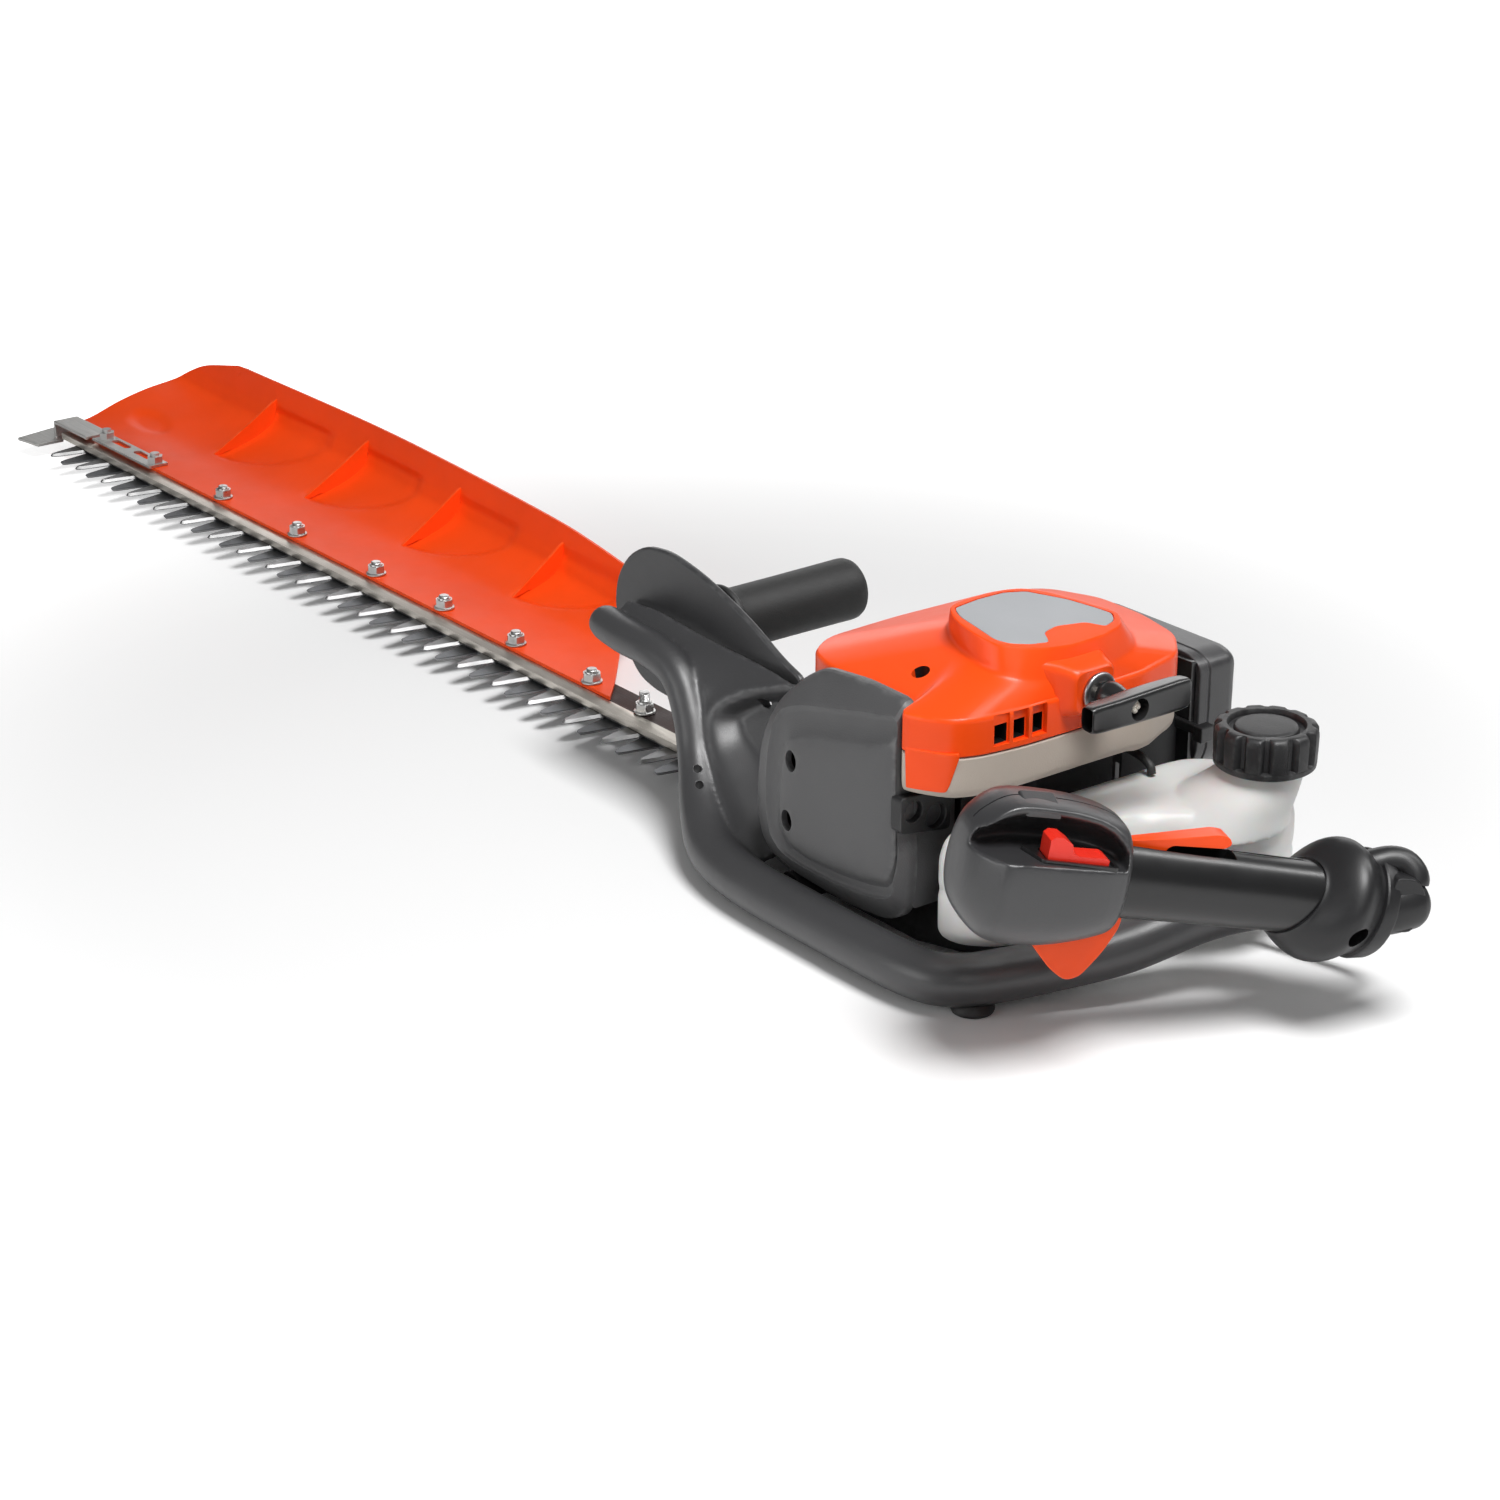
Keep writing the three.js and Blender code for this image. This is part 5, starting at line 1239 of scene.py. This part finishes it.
tank_outline = rounded([
    (-217, 60), (-217, -66), (-221, -92), (-234, -105), (-260, -108), (-281, -104), (-292, -91), (-295, -70),
    (-282, -44), (-262, -20), (-256, 26), (-246, 56), (-233, 68), (-221, 69),
], 9, 3)
tank_centre = Vector((-245, -35))


def tank_ring(z, inset):
    return [(*pushed(point, tank_centre, -inset), z) for point in tank_outline]


def round_ring(x, y, z, radius):
    return [(x + radius * math.cos(t), y + radius * math.sin(t), z) for t in circle_turns(48)]


tank_body = loft_of("tank_body", tank_ring, (
    (24.3, 7), (26, 3), (30, 0.4), (48, 0.2), (50, 1.2), (51.4, 1.2), (53.2, 0.2), (66, 0.3), (73, 2.4),
    (76.6, 6), (77.8, 11),
))
tank_shoulder = loft_of("tank_shoulder", round_ring, (
    (-267, -66, 66, 33), (-270, -69, 74, 29.5), (-274, -73, 81, 26), (-277.5, -76.5, 87, 22.5),
    (-280, -79, 92, 20), (-281, -80, 95, 18.8), (-281, -80, 109, 18.6),
))
tank = join_pieces("blown_fuel_tank", tank_body, tank_shoulder)
melt(tank, 1.5, 8)
fit(tank, "white_tank", "tank_white", "fuel_tank")
print("tank faces", len(tank.data.polygons))

# %% [markdown]
# The cap has twelve finger notches in its rim, a groove round its top and a low disc in the middle.
# Its rings are circles whose radius dips at each notch.

# %% Fuel cap
def cap_ring(z, radius, notch):
    ring = []
    for t in circle_turns(144):
        wave = abs((t * 12 / (2 * math.pi)) % 1 - 0.5) * 2
        dip = notch * soft_step((0.42 - wave) / 0.2)
        ring.append((-281 + (radius - dip) * math.cos(t), -80 + (radius - dip) * math.sin(t), z))
    return ring


cap = loft_of("fuel_cap_shell", cap_ring, (
    (96.5, 19.6, 0), (95, 20.2, 0), (95, 23.2, 0), (95.6, 23.9, 0), (97.6, 24.1, 0), (98.2, 23.9, 0.2),
    (98.8, 24.2, 2.7), (105, 24.4, 2.9), (110.5, 24.5, 2.9), (112.8, 24.3, 2.8), (114.2, 23.4, 2.4),
    (114.9, 22.1, 1.6), (115, 20.6, 0.3), (114.9, 18.6, 0), (114.3, 18.0, 0), (112.2, 17.6, 0),
    (111.9, 16.9, 0), (112.0, 15.4, 0), (113.2, 14.9, 0), (113.8, 14.2, 0), (114.1, 12, 0), (114.3, 4, 0),
))
shade(cap, 38)
fit(cap, "black_shell", "cap_black", "fuel_cap", body="fuel_cap")
tell_size(cap)

# %% [markdown]
# ## Frame, guard and front grip
# One moulded frame carries the machine: a round rail that runs low along the side and behind, and a
# scooped web that climbs to the hand guard. Rail and web are made apart and melted together.

# %% Rail and web
rail_stops = [
    (83, 40, 86, 5.4), (80.5, 40, 86, 8), (74, 40, 86, 9.6), (55, 42, 85.6, 10), (30, 43, 85.2, 9.8),
    (9, 43.6, 79, 9.4), (-6, 47, 63, 9.2), (-20, 53.4, 43, 9.8), (-38, 64, 26.6, 11.5), (-64, 77, 17, 12.5),
    (-100, 85, 15.5, 12.5), (-160, 86.6, 15.5, 12.5), (-222, 85.4, 15.5, 12.5), (-244, 76, 15.5, 12.5),
    (-256, 56, 17, 12.5), (-268, 32, 20.5, 12.5), (-281, 5, 25.5, 12.5), (-296, -30, 37, 12.5),
    (-316, -48, 46, 12.5), (-336, -56, 53, 12.5), (-357, -61, 58, 12.5), (-370, -65, 59.4, 12.5),
    (-372, -65.6, 59.6, 11.6),
]
outer_edge = [
    (80, 38, 88), (56, 42, 87), (30, 43, 86), (8, 43.6, 79), (-8, 47, 61), (-22, 54, 42), (-42, 67, 25),
    (-64, 77, 18), (-90, 84, 17),
]
inner_edge = [
    (80, 22.5, 93), (52, 22.5, 95), (14, 22.5, 92.6), (-40, 22.5, 91), (-92, 25, 86), (-93, 35, 66),
    (-93, 47, 48), (-94, 60, 35), (-98, 70, 27),
]
pocket_edge = smooth_path([
    (-66, 92, 0), (-52, 87, 0), (-35, 80.6, 0), (-22.6, 71.5, 0), (-20.4, 62.6, 0), (-29, 51, 0), (-44, 42, 0),
    (-62, 33, 0), (-74, 25, 0),
], 5)


# The web is scooped out behind a curved ridge. The pocket's depth grows with the distance from it.
def pocket_depth(x, z):
    spot = Vector((x, z, 0))
    nearest = min(range(len(pocket_edge)), key=lambda k: (pocket_edge[k] - spot).length)
    before = pocket_edge[max(nearest - 1, 0)]
    after = pocket_edge[min(nearest + 1, len(pocket_edge) - 1)]
    inward = Vector((before.y - after.y, after.x - before.x, 0)).normalized()
    far = (spot - pocket_edge[nearest]).dot(-inward)
    return 11 * soft_step(far / 9) - 1.6 * max(0, 1 - abs(far) / 6)


outer, inner = smooth_path(outer_edge, 9), smooth_path(inner_edge, 9)


def web_place(column, row):
    share = column / 48
    spot = outer[row].lerp(inner[row], share)
    spot.z -= 3 * math.sin(math.pi * share)
    spot.y -= pocket_depth(spot.x, spot.z)
    return spot


web = make_grid("web", 49, len(outer), web_place)
apply_modifier(web, "SOLIDIFY", thickness=4 * mm, offset=0)
main_frame = join_pieces("moulded_frame", tube("rail", rail_stops, 28, 8), web)
melt(main_frame, 1.35, 6)
screw_places = ((-41.7, 69.5, 50.4), (-47.2, 72.5, 44.4))
screw_holes = [turned("hole", spot, (0.74, -0.55, -0.39), ((0, 2), (19, 2)), 20) for spot in screw_places]
vent_slot = turned("hole", (-44, 12, 74), (0.1, 1, 0.1), ((0, 2.6), (34, 2.6)), 24)
combine(main_frame, screw_holes + [vent_slot])
fit(main_frame, "grey_shell", "frame_shell", "main_frame")
print("frame faces", len(main_frame.data.polygons))

# %% [markdown]
# The hand guard is a flat leaf with soft edges. The grip bar stands on it, with a rubber sleeve. The
# sleeve is a turned piece with a collar by the guard and a rounded end.

# %% Guard and front grip
guard_outline = rounded([
    (97, 85), (94, 103), (84, 117), (69, 126), (48, 128.6), (22, 124), (2, 118), (-22, 109), (-44, 98),
    (-60, 92.6), (-62, 86), (-34, 72), (0, 52), (37, 47), (62, 48), (76, 52), (87, 64),
], 9, 4)
guard = plate("hand_guard_leaf", guard_outline, 16, 20, "Y")
soften(guard, 1.6, 4)
spindle = turned("spindle", (10, 17, 100), (0, -1, 0), ((0, 8), (82, 8), (85, 6)), 32)
shade(spindle)
guard = join_pieces("hand_guard_leaf", guard, spindle)
fit(guard, "grey_shell", "guard_shell", "hand_guard")
sleeve_profile = [
    (0.3, 9), (0.3, 17.6), (0.8, 18.9), (1.8, 19.5), (3.2, 19.5), (4.2, 18.9), (4.9, 17.2), (6.4, 16.4),
    (12, 16.2), (40, 16.2), (74, 16.4), (80, 16.5), (83.6, 16.3), (85.6, 15.4), (87.0, 13.8), (87.8, 11.6),
    (88, 8.5), (87.6, 7.6),
]
front_grip = turned("front_grip_sleeve", (10, 16, 100), (0, -1, 0), sleeve_profile, 64)
shade(front_grip, 50)
fit(front_grip, "black_rubber", "soft_rubber", "front_grip")
foot_profile = ((0, 8.6), (0.5, 9.8), (2, 10.4), (4, 9.6), (5.5, 8))
foot = turned("frame_foot_pad", (-249, 69, 0), (0, 0, 1), foot_profile)
shade(foot, 40)
fit(foot, "black_rubber", "soft_rubber", "frame_foot")
print("guard and grip")

# %% [markdown]
# ## The rear handle
# The handle stands aslant over the rear rail, so it is easier to model it upright and then turn it
# into place. Its own axes run towards the engine, along the grip, and up. The helper turn_in bakes
# that turn into the mesh, so the object itself stays at the origin.

# %% The handle's own axes
switch_end, mount_end = Vector((-299, 77, 92)), Vector((-355, -52, 60))
along = (switch_end - mount_end).normalized()
upward = (Vector((0, 0, 1)) - along * along.z).normalized()
forward = along.cross(upward)
handle_place = Matrix((forward, along, upward)).transposed().to_4x4()
handle_place.translation = (switch_end + mount_end) * 0.5 * mm


def turn_in(piece):
    choose(piece)
    piece.matrix_world = handle_place
    bpy.ops.object.transform_apply(location=True, rotation=True, scale=False)
    return piece


print("handle middle", tuple(round(v) for v in (switch_end + mount_end) * 0.5))

# %% [markdown]
# The grip is a slim oval loft, and the switch pod is a separate one that closes over its end with a
# thick rim. The pod is round in front, where the fingers pass, and boxy behind, so each ring has its
# own reach to the rear, the front, the top and the bottom. A deck for the stop switch is cut under a
# hood: the cutter's own rings follow the arch of the hood and run out at the end. Remesh and Smooth
# then round every edge of the pod, as the mould would.

# %% Grip and switch pod
def eased(value, power):
    return math.copysign(abs(value) ** power, value)


def oval_ring(y, wide, tall):
    return [(wide * eased(math.cos(t), 0.95), y, tall * eased(math.sin(t), 0.95)) for t in circle_turns(64)]


def pod_ring(y, rear, front, top, bottom):
    ring = []
    for c, s in [(math.cos(t), math.sin(t)) for t in circle_turns(72)]:
        power = (0.56 if s > 0 else 0.8) if c < 0 else 0.9
        wide, tall = (rear if c < 0 else front), (top if s > 0 else bottom)
        ring.append((wide * eased(c, power), y, tall * eased(s, 0.9)))
    return ring


grip_stations = smooth_path((
    (-64, 16.0, 16.8), (-45, 15.4, 16.8), (-20, 15.6, 17.2), (10, 16.1, 17.6), (43, 16.9, 18.5),
), 6)
pod_reach = smooth_path((
    (43, 27.6, 25.2), (50, 30, 26.6), (58, 31.6, 27.6), (67, 32.6, 28.4), (77, 33.2, 28.8), (87, 33.6, 28.4),
    (95, 33.4, 27.4), (100.2, 32.6, 25.6), (104, 28.6, 23), (107.6, 23.4, 19.6), (110.3, 18, 15.4),
    (112, 12, 10.6), (112.6, 5, 5),
), 2)
pod_height = smooth_path((
    (28.6, 24.4), (31.4, 26.8), (33.2, 29.2), (34.2, 31.4), (34.6, 32.8), (34.6, 33), (33.8, 32), (31.6, 29.4),
    (28.8, 26.2), (25.6, 22.4), (22, 18.4), (17, 13.4), (8, 6.6),
), 2)
pod_rows = [(40, 17.2, 17.2, 18.8, 18.8), (40, 24, 22.6, 24.8, 22), (40.8, 25.6, 24.2, 27, 23.4)]
pod_rows += [(*reach, *height) for reach, height in zip(pod_reach, pod_height)]
grip_body = loft_of("rear_grip", oval_ring, grip_stations)
pod = loft_of("switch_pod", pod_ring, pod_rows)


def deck_ring(y, deck, foot, lip_x, lip_z):
    return [(x, y, z) for x, z in (
        (-75, deck), (foot - 4, deck), (foot, deck + 0.8), (foot - 0.6, deck + 4),
        ((foot + lip_x) / 2 + 1.6, (deck + 4 + lip_z) / 2 + 1.4), (lip_x, lip_z), (lip_x - 1.2, 60), (-75, 60),
    )]


deck_cut = loft_of("deck_cut", deck_ring, (
    (43.4, 12, -14, -22, 19), (46, 12.8, -9, -20.6, 23), (51, 13.3, -4, -18.6, 27),
    (58, 13.5, -1, -17.2, 29.4), (70, 13.5, 1, -16.6, 30.8), (84, 13.3, 1, -16.4, 31),
    (94, 12.8, 0, -16.4, 29.8), (101, 12.2, -2, -16.6, 27), (107, 11.6, -5, -17, 23.4),
    (111, 11.2, -9, -18, 19), (118, 11, -14, -20, 15),
))
trigger_slot = block("trigger_slot", (-6.8, 22, -60), (6.8, 79.5, -2))
combine(pod, [deck_cut])
apply_modifier(pod, "BOOLEAN", object=trigger_slot, operation="DIFFERENCE", solver="EXACT")
melt(pod, 0.85, 6)
combine(grip_body, [trigger_slot, block("lockout_slot", (-5.8, -16, 1), (5.8, 41, 60))])
soften(grip_body, 0.6, 3, 50, 34)
print("pod faces", len(pod.data.polygons))

# %% [markdown]
# The two moulded halves meet in a seam along the top. It is a narrow groove, cut with a thin plate. A
# small clip bridges it on the hood.

# %% Seam and clip
def cut_seam(piece, profile, x, deep):
    outline = [(y, tall - deep) for y, tall in profile] + [(y, tall + 3) for y, tall in reversed(profile)]
    combine(piece, [plate("seam", outline, x, x + 0.9, "X")])


cut_seam(pod, [(y, top) for y, rear, front, top, bottom in pod_rows[3:-4]], -4.4, 1.6)
cut_seam(grip_body, [(y, tall) for y, wide, tall in grip_stations[4:-1]], 1.2, 1.1)
for piece in (grip_body, pod):
    turn_in(piece)
    shade(piece, 40)
fit(pod, "grey_shell", "pod_shell", "handle_rear_shell")
fit(grip_body, "black_shell", "grip_black", "handle_front_shell")


def hood_height(x, y):
    return 34.9 - 0.0135 * (x + 1) ** 2 - 0.0035 * (y - 80) ** 2


def clip_ring(inset, lift):
    left, right, near, far = -16.4 + inset, -1 - inset, 75.5 + inset, 92 - inset
    outline = rounded([(left, near), (right, near), (right, far), (left, far)], 1.4, 3)
    return [(x, y, hood_height(x, y) + lift) for x, y in outline]


hood_clip = loft_of("hood_clip", clip_ring, ((0, -2), (0, 0.3), (0.3, 0.8), (0.9, 1.0)))
turn_in(hood_clip)
shade(hood_clip, 35)
fit(hood_clip, "black_shell", "pod_shell")
tell_size(pod)

# %% [markdown]
# The stop switch sits in a shallow frame on the deck. It is a rocker: two slopes that meet in a
# raised ridge, so that one end stands up while the other is pressed.

# %% Switch frame and rocker
frame_outline = rounded([(-28.6, 48.6), (-12.6, 48.6), (-12.6, 90), (-28.6, 84)], 2, 4)
hole_outline = rounded([(-26.8, 50.2), (-14.6, 50.2), (-14.6, 82.6), (-26.8, 82.6)], 1.2, 3)
frame_plate = plate("switch_frame", frame_outline, 11.4, 14.9)
combine(frame_plate, [plate("frame_hole", hole_outline, 9, 18)])
soften(frame_plate, 0.4, 2)
turn_in(frame_plate)
fit(frame_plate, "black_shell", "black_shell")
rocker_side = [
    (53, 13.4), (60, 12.4), (70, 12.4), (81.4, 14.2), (82, 23.0), (80.2, 24.8), (76.4, 24.8), (71.6, 22.2),
    (70, 18.2), (67.6, 17.2), (55, 17.6), (53, 16.8),
]
rocker = plate("stop_rocker", rocker_side, -26, -15.4, "X")
for y in (55.4, 61):
    dent_outline = rounded([(y, 17.3), (y + 2.2, 17.3), (y + 2.2, 21), (y, 21)], 0.4, 2)
    combine(rocker, [plate("dent", dent_outline, -23.8, -18, "X")])
soften(rocker, 0.55, 3, 20)
turn_in(rocker)
fit(rocker, "red_switch", "red_rocker", "stop_switch", body="stop_switch")
tell_size(rocker)

# %% [markdown]
# The trigger is a fin under the grip and the lockout is a long tongue on top of it. Both are plates
# with generously rounded edges, as fingers rest on them.

# %% Trigger and lockout
trigger_side = rounded([
    (73, -22), (71, -32), (57.5, -45), (49, -49.6), (42.6, -46.8), (35, -34.2), (30.4, -22), (30.4, -15),
    (71, -15),
], 4.6, 4)
trigger = plate("throttle_trigger_fin", trigger_side, -5.9, 5.9, "X")
soften(trigger, 1.7, 4, 20)
turn_in(trigger)
fit(trigger, "orange_shell", "orange_shell", "throttle_trigger", body="throttle_trigger")
lockout_side = rounded([
    (36, 11), (36, 18.2), (14, 22.4), (-5, 26.4), (-10.4, 25.8), (-12.6, 22.6), (-10, 20.2), (16, 18.6),
    (20, 11),
], 2.6, 4)
lockout = plate("throttle_lockout_tongue", lockout_side, -4.9, 4.9, "X")
soften(lockout, 1.7, 4, 20)
for vertex in lockout.data.vertices:
    vertex.co.x *= 1 - 0.45 * max(0, vertex.co.y / mm - 4) / 32
turn_in(lockout)
fit(lockout, "orange_shell", "orange_shell", "throttle_lockout", body="throttle_lockout")
tell_size(lockout)

# %% [markdown]
# A trumpet-shaped boss ends the grip and clamps it to the rail. Its rings lean, so that the flare
# starts later where the palm rests. It swells, falls back and ends in a clamp collar. A sleeve with
# a square clamp block on it turns round the end of the rail, and a short bent conduit for the cable
# leaves beside it.

# %% Handle mount
def mount_ring(y, wide, tall, lean):
    return [(wide * math.cos(t), y - lean * math.cos(t - 2.1), tall * math.sin(t)) for t in circle_turns(60)]


flare = smooth_path((
    (-49.4, 17.0, 17.8, 9.5), (-51, 18.0, 18.8, 9.5), (-53.4, 20.4, 21.0, 9.2), (-57.4, 24.2, 24.6, 8.8),
    (-61.6, 27.2, 27.4, 8.4), (-65.4, 28.6, 28.6, 8), (-69, 28.4, 28.4, 7.2), (-73, 26.6, 26.8, 6.2),
    (-77.4, 24.2, 24.6, 5), (-80.6, 23.2, 23.6, 4.2),
), 3)
boss = loft_of("mount_boss", mount_ring, [
    (-49.6, 15.6, 16.4, 9.5), *flare, (-81.4, 24.6, 25.0, 4), (-82.4, 25, 25.4, 3.8), (-88, 24.2, 24.6, 3.2),
    (-89.4, 23.4, 23.8, 3), (-90, 21.4, 22, 3), (-90, 17, 17.6, 3),
])
combine(boss, [turned("boss_screw", (-38, -74, -9), (1, 0, 0.2), ((0, 5.4), (22, 5.4)), 28)])
soften(boss, 0.35, 2, 40, 34)
turn_in(boss)
sleeve = tube("rail_sleeve", [
    (-354, -60, 57.2, 14.4), (-363, -62.6, 58.4, 14.2), (-370.4, -67, 59.2, 13.8), (-374.4, -73.6, 59.8, 13),
    (-375.4, -78, 60, 12.6), (-375.6, -79.6, 60, 11.4), (-375.6, -80.2, 60, 9.6),
], 40, 4)
shade(sleeve, 34)
clamp_outline = rounded([(-88, -6), (-103, -4), (-105, 14), (-99, 21), (-88, 21)], 3, 3)
clamp_block = plate("clamp_block", clamp_outline, -19, -3, "X")
soften(clamp_block, 1, 3)
turn_in(clamp_block)
conduit = tube("conduit", [
    (-1, -80, 17, 7.4), (-2, -86, 20.4, 7.2), (-3, -92, 23, 6.8), (-5.6, -97.4, 23.4, 6.4),
    (-9.6, -101.2, 20.6, 6), (-12, -102.4, 17, 5.6), (-12.6, -102.6, 15.8, 4.6),
], 28, 4)
shade(conduit, 40)
turn_in(conduit)
mount = join_pieces("handle_mount_boss", boss, sleeve, clamp_block, conduit)
fit(mount, "black_shell", "grip_shell", "handle_mount")
print("mount faces", len(mount.data.polygons))

# %% [markdown]
# ## Cable and hose
# The throttle cable leaves the end of the mount, runs along the rear of the machine and enters at the
# carburettor. The clear fuel hose climbs from the tank. Both are tubes with one smooth route.

# %% Cable and hose
cable_radius, hose_radius = 2.9, 2.1
cable = tube("throttle_cable_cover", with_radius([
    (-351.3, -66, 49.5), (-352, -77.5, 44.8), (-350, -87.5, 39.6), (-343, -94, 28), (-326, -93, 17),
    (-296, -86, 13), (-255, -74, 12), (-215, -66, 13), (-180, -62, 22), (-142, -60, 34), (-120, -58, 44),
    (-118, -58, 50), (-118, -58, 55.7),
], cable_radius), 16)
shade(cable, 60)
fit(cable, "black_rubber", "soft_rubber", "throttle_cable")
hose = tube("fuel_hose_tube", with_radius([
    (-232, -56, 78.9), (-230, -56, 83), (-220, -56, 86), (-195, -57, 85), (-170, -58, 79), (-150, -58, 64),
    (-135.3, -58, 64),
], hose_radius), 14)
shade(hose, 60)
fit(hose, "black_rubber", "soft_rubber", "fuel_hose")
print("cable and hose")

# %% [markdown]
# ## Air filter
# The filter cover is a grey box on the far side. Its outline is rounded, and three rings draw it in
# towards a slightly crowned face.

# %% Filter cover
filter_outline = rounded([
    (-217, 70), (-201, 52), (-117, 52), (-108, 61), (-108, 100), (-126, 122), (-208, 122), (-217, 118),
], 8, 4)
filter_centre = Vector((-162, 88))


def filter_ring(y, inset):
    return [(x, y, z) for x, z in [pushed(point, filter_centre, -inset) for point in filter_outline]]


filter_cover = loft_of("filter_cover_shell", filter_ring, (
    (-102, 4), (-100.8, 3.6), (-100.8, 0.4), (-101.4, 0), (-106, 0), (-106.5, 0.8), (-107.5, 0.8), (-108, 0),
    (-121, 0.8), (-124.5, 1.8), (-127.2, 4), (-128.6, 7.4), (-129.2, 13), (-129.4, 19), (-128.6, 20.6),
    (-128.6, 22.4), (-129.6, 24.2), (-129.8, 34),
))
soften(filter_cover, 0.3, 2, 40, 34)
fit(filter_cover, "grey_shell", "guard_shell", "air_filter_cover")
tell_size(filter_cover)

# %% [markdown]
# ## The inner pieces
# Behind the covers lie the gear case, the engine and its drive. They are seen through gaps and from
# below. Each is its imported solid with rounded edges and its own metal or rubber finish. Round bars
# keep their facets small, and only edges sharper than the stated angle are rounded.

# %% Gear case and engine
still_pieces = (
    ("gear_case_tray", "gear_case_lower", 0.9, "cast_alloy", "black_alloy"),
    ("gear_case_lid", "gear_case_upper", 0.8, "cast_alloy", "black_alloy"),
    ("crankcase_casting", "crankcase", 1.0, "cast_alloy", "black_alloy"),
    ("finned_cylinder", "cylinder", 0.3, "cast_alloy", "cast_alloy"),
    ("muffler_box", "muffler", 1.6, "dark_steel", "sooty_steel"),
    ("intake_block", "carburetor_insulator", 0.8, "black_shell", "black_shell"),
    ("carburettor_body", "carburetor", 0.7, "cast_alloy", "cast_alloy"),
    ("filter_plate", "air_filter_base", 0.7, "black_shell", "black_shell"),
    ("filter_pad", "air_filter_element", 1.5, "filter_foam", "filter_foam"),
    ("primer_button", "primer_bulb", 0.0, "black_rubber", "soft_rubber"),
    ("coil_block", "ignition_module", 0.8, "black_shell", "black_shell"),
    ("plug_and_boot", "spark_plug", 0.5, "black_shell", "soft_rubber"),
    ("rewind_spring", "recoil_spring", 0.3, "dark_steel", "dark_steel"),
    ("left_buffer", "av_mount_left", 0.8, "black_rubber", "soft_rubber"),
    ("rear_buffer", "av_mount_rear", 0.8, "black_rubber", "soft_rubber"),
)
moving_pieces = (
    ("drive_gear", "eccentric_gear", "drive_gear", 0.2, "dark_steel", "dark_steel"),
    ("upper_blade", "upper_rod", "upper_drive_rod", 0.3, "dark_steel", "oxide_steel"),
    ("lower_blade", "lower_rod", "lower_drive_rod", 0.3, "dark_steel", "oxide_steel"),
    ("clutch_drum", "clutch_bell", "clutch_drum", 0.3, "dark_steel", "dark_steel"),
    ("crankshaft", "clutch_shoe_pair", "clutch_shoes", 0.6, "dark_steel", "sooty_steel"),
    ("crankshaft", "crank", "crankshaft", 0.5, "blade_steel", "blade_steel"),
    ("crankshaft", "vaned_flywheel", "flywheel", 0.4, "cast_alloy", "cast_alloy"),
    ("piston", "piston_skirt", "piston", 0.4, "cast_alloy", "cast_alloy"),
    ("starter_pulley", "rope_pulley", "starter_pulley", 0.4, "black_shell", "black_shell"),
    ("choke_lever", "choke_arm", "choke_lever", 0.8, "black_shell", "black_shell"),
)
for name, node, width, slot, skin in still_pieces:
    fit(refine(name, node, width), slot, skin, node)
for body, name, node, width, slot, skin in moving_pieces:
    fit(refine(name, node, width), slot, skin, node, body=body)
print("inner pieces", len(still_pieces) + len(moving_pieces))

# %% [markdown]
# A thin black heat shield stands between the hot engine and the tank, with a slit for the fuel hose. It
# is also painted shade: it hides the daylight that would otherwise show through the gap under the fan
# housing, and its black stands in for the shade in that gap.

# %% Heat shield and painted shade sheet
shield_rear, shield_front = -207.6, -206
shield_outline = rounded([(-53.8, 46), (41.6, 46), (41.6, 92.6), (-53.8, 92.6)], 5, 4)
wing_outline = rounded([(-96, 48), (-59.6, 48), (-59.6, 92.6), (-96, 92.6)], 3, 4)
shield = plate("heat_shield_and_shade_sheet", shield_outline, shield_rear, shield_front, "X")
wing = plate("wing", wing_outline, shield_rear, shield_front, "X")
shield = join_pieces("heat_shield_and_shade_sheet", shield, wing)
soften(shield, 0.4, 2)
# Its black is partly painted shade for the gap under the fan housing.
fit(shield, "black_shell", "cap_black")
tell_size(shield)

# %% [markdown]
# ## Finish
# The last cell names every fitted piece that is not at the origin or is scaled, and counts the pieces.

# %% Finish
for piece in fitted:
    if piece.location.length > 0 or piece.scale != Vector((1, 1, 1)):
        print("not at the origin:", piece.name)
print("pieces fitted:", len(fitted))
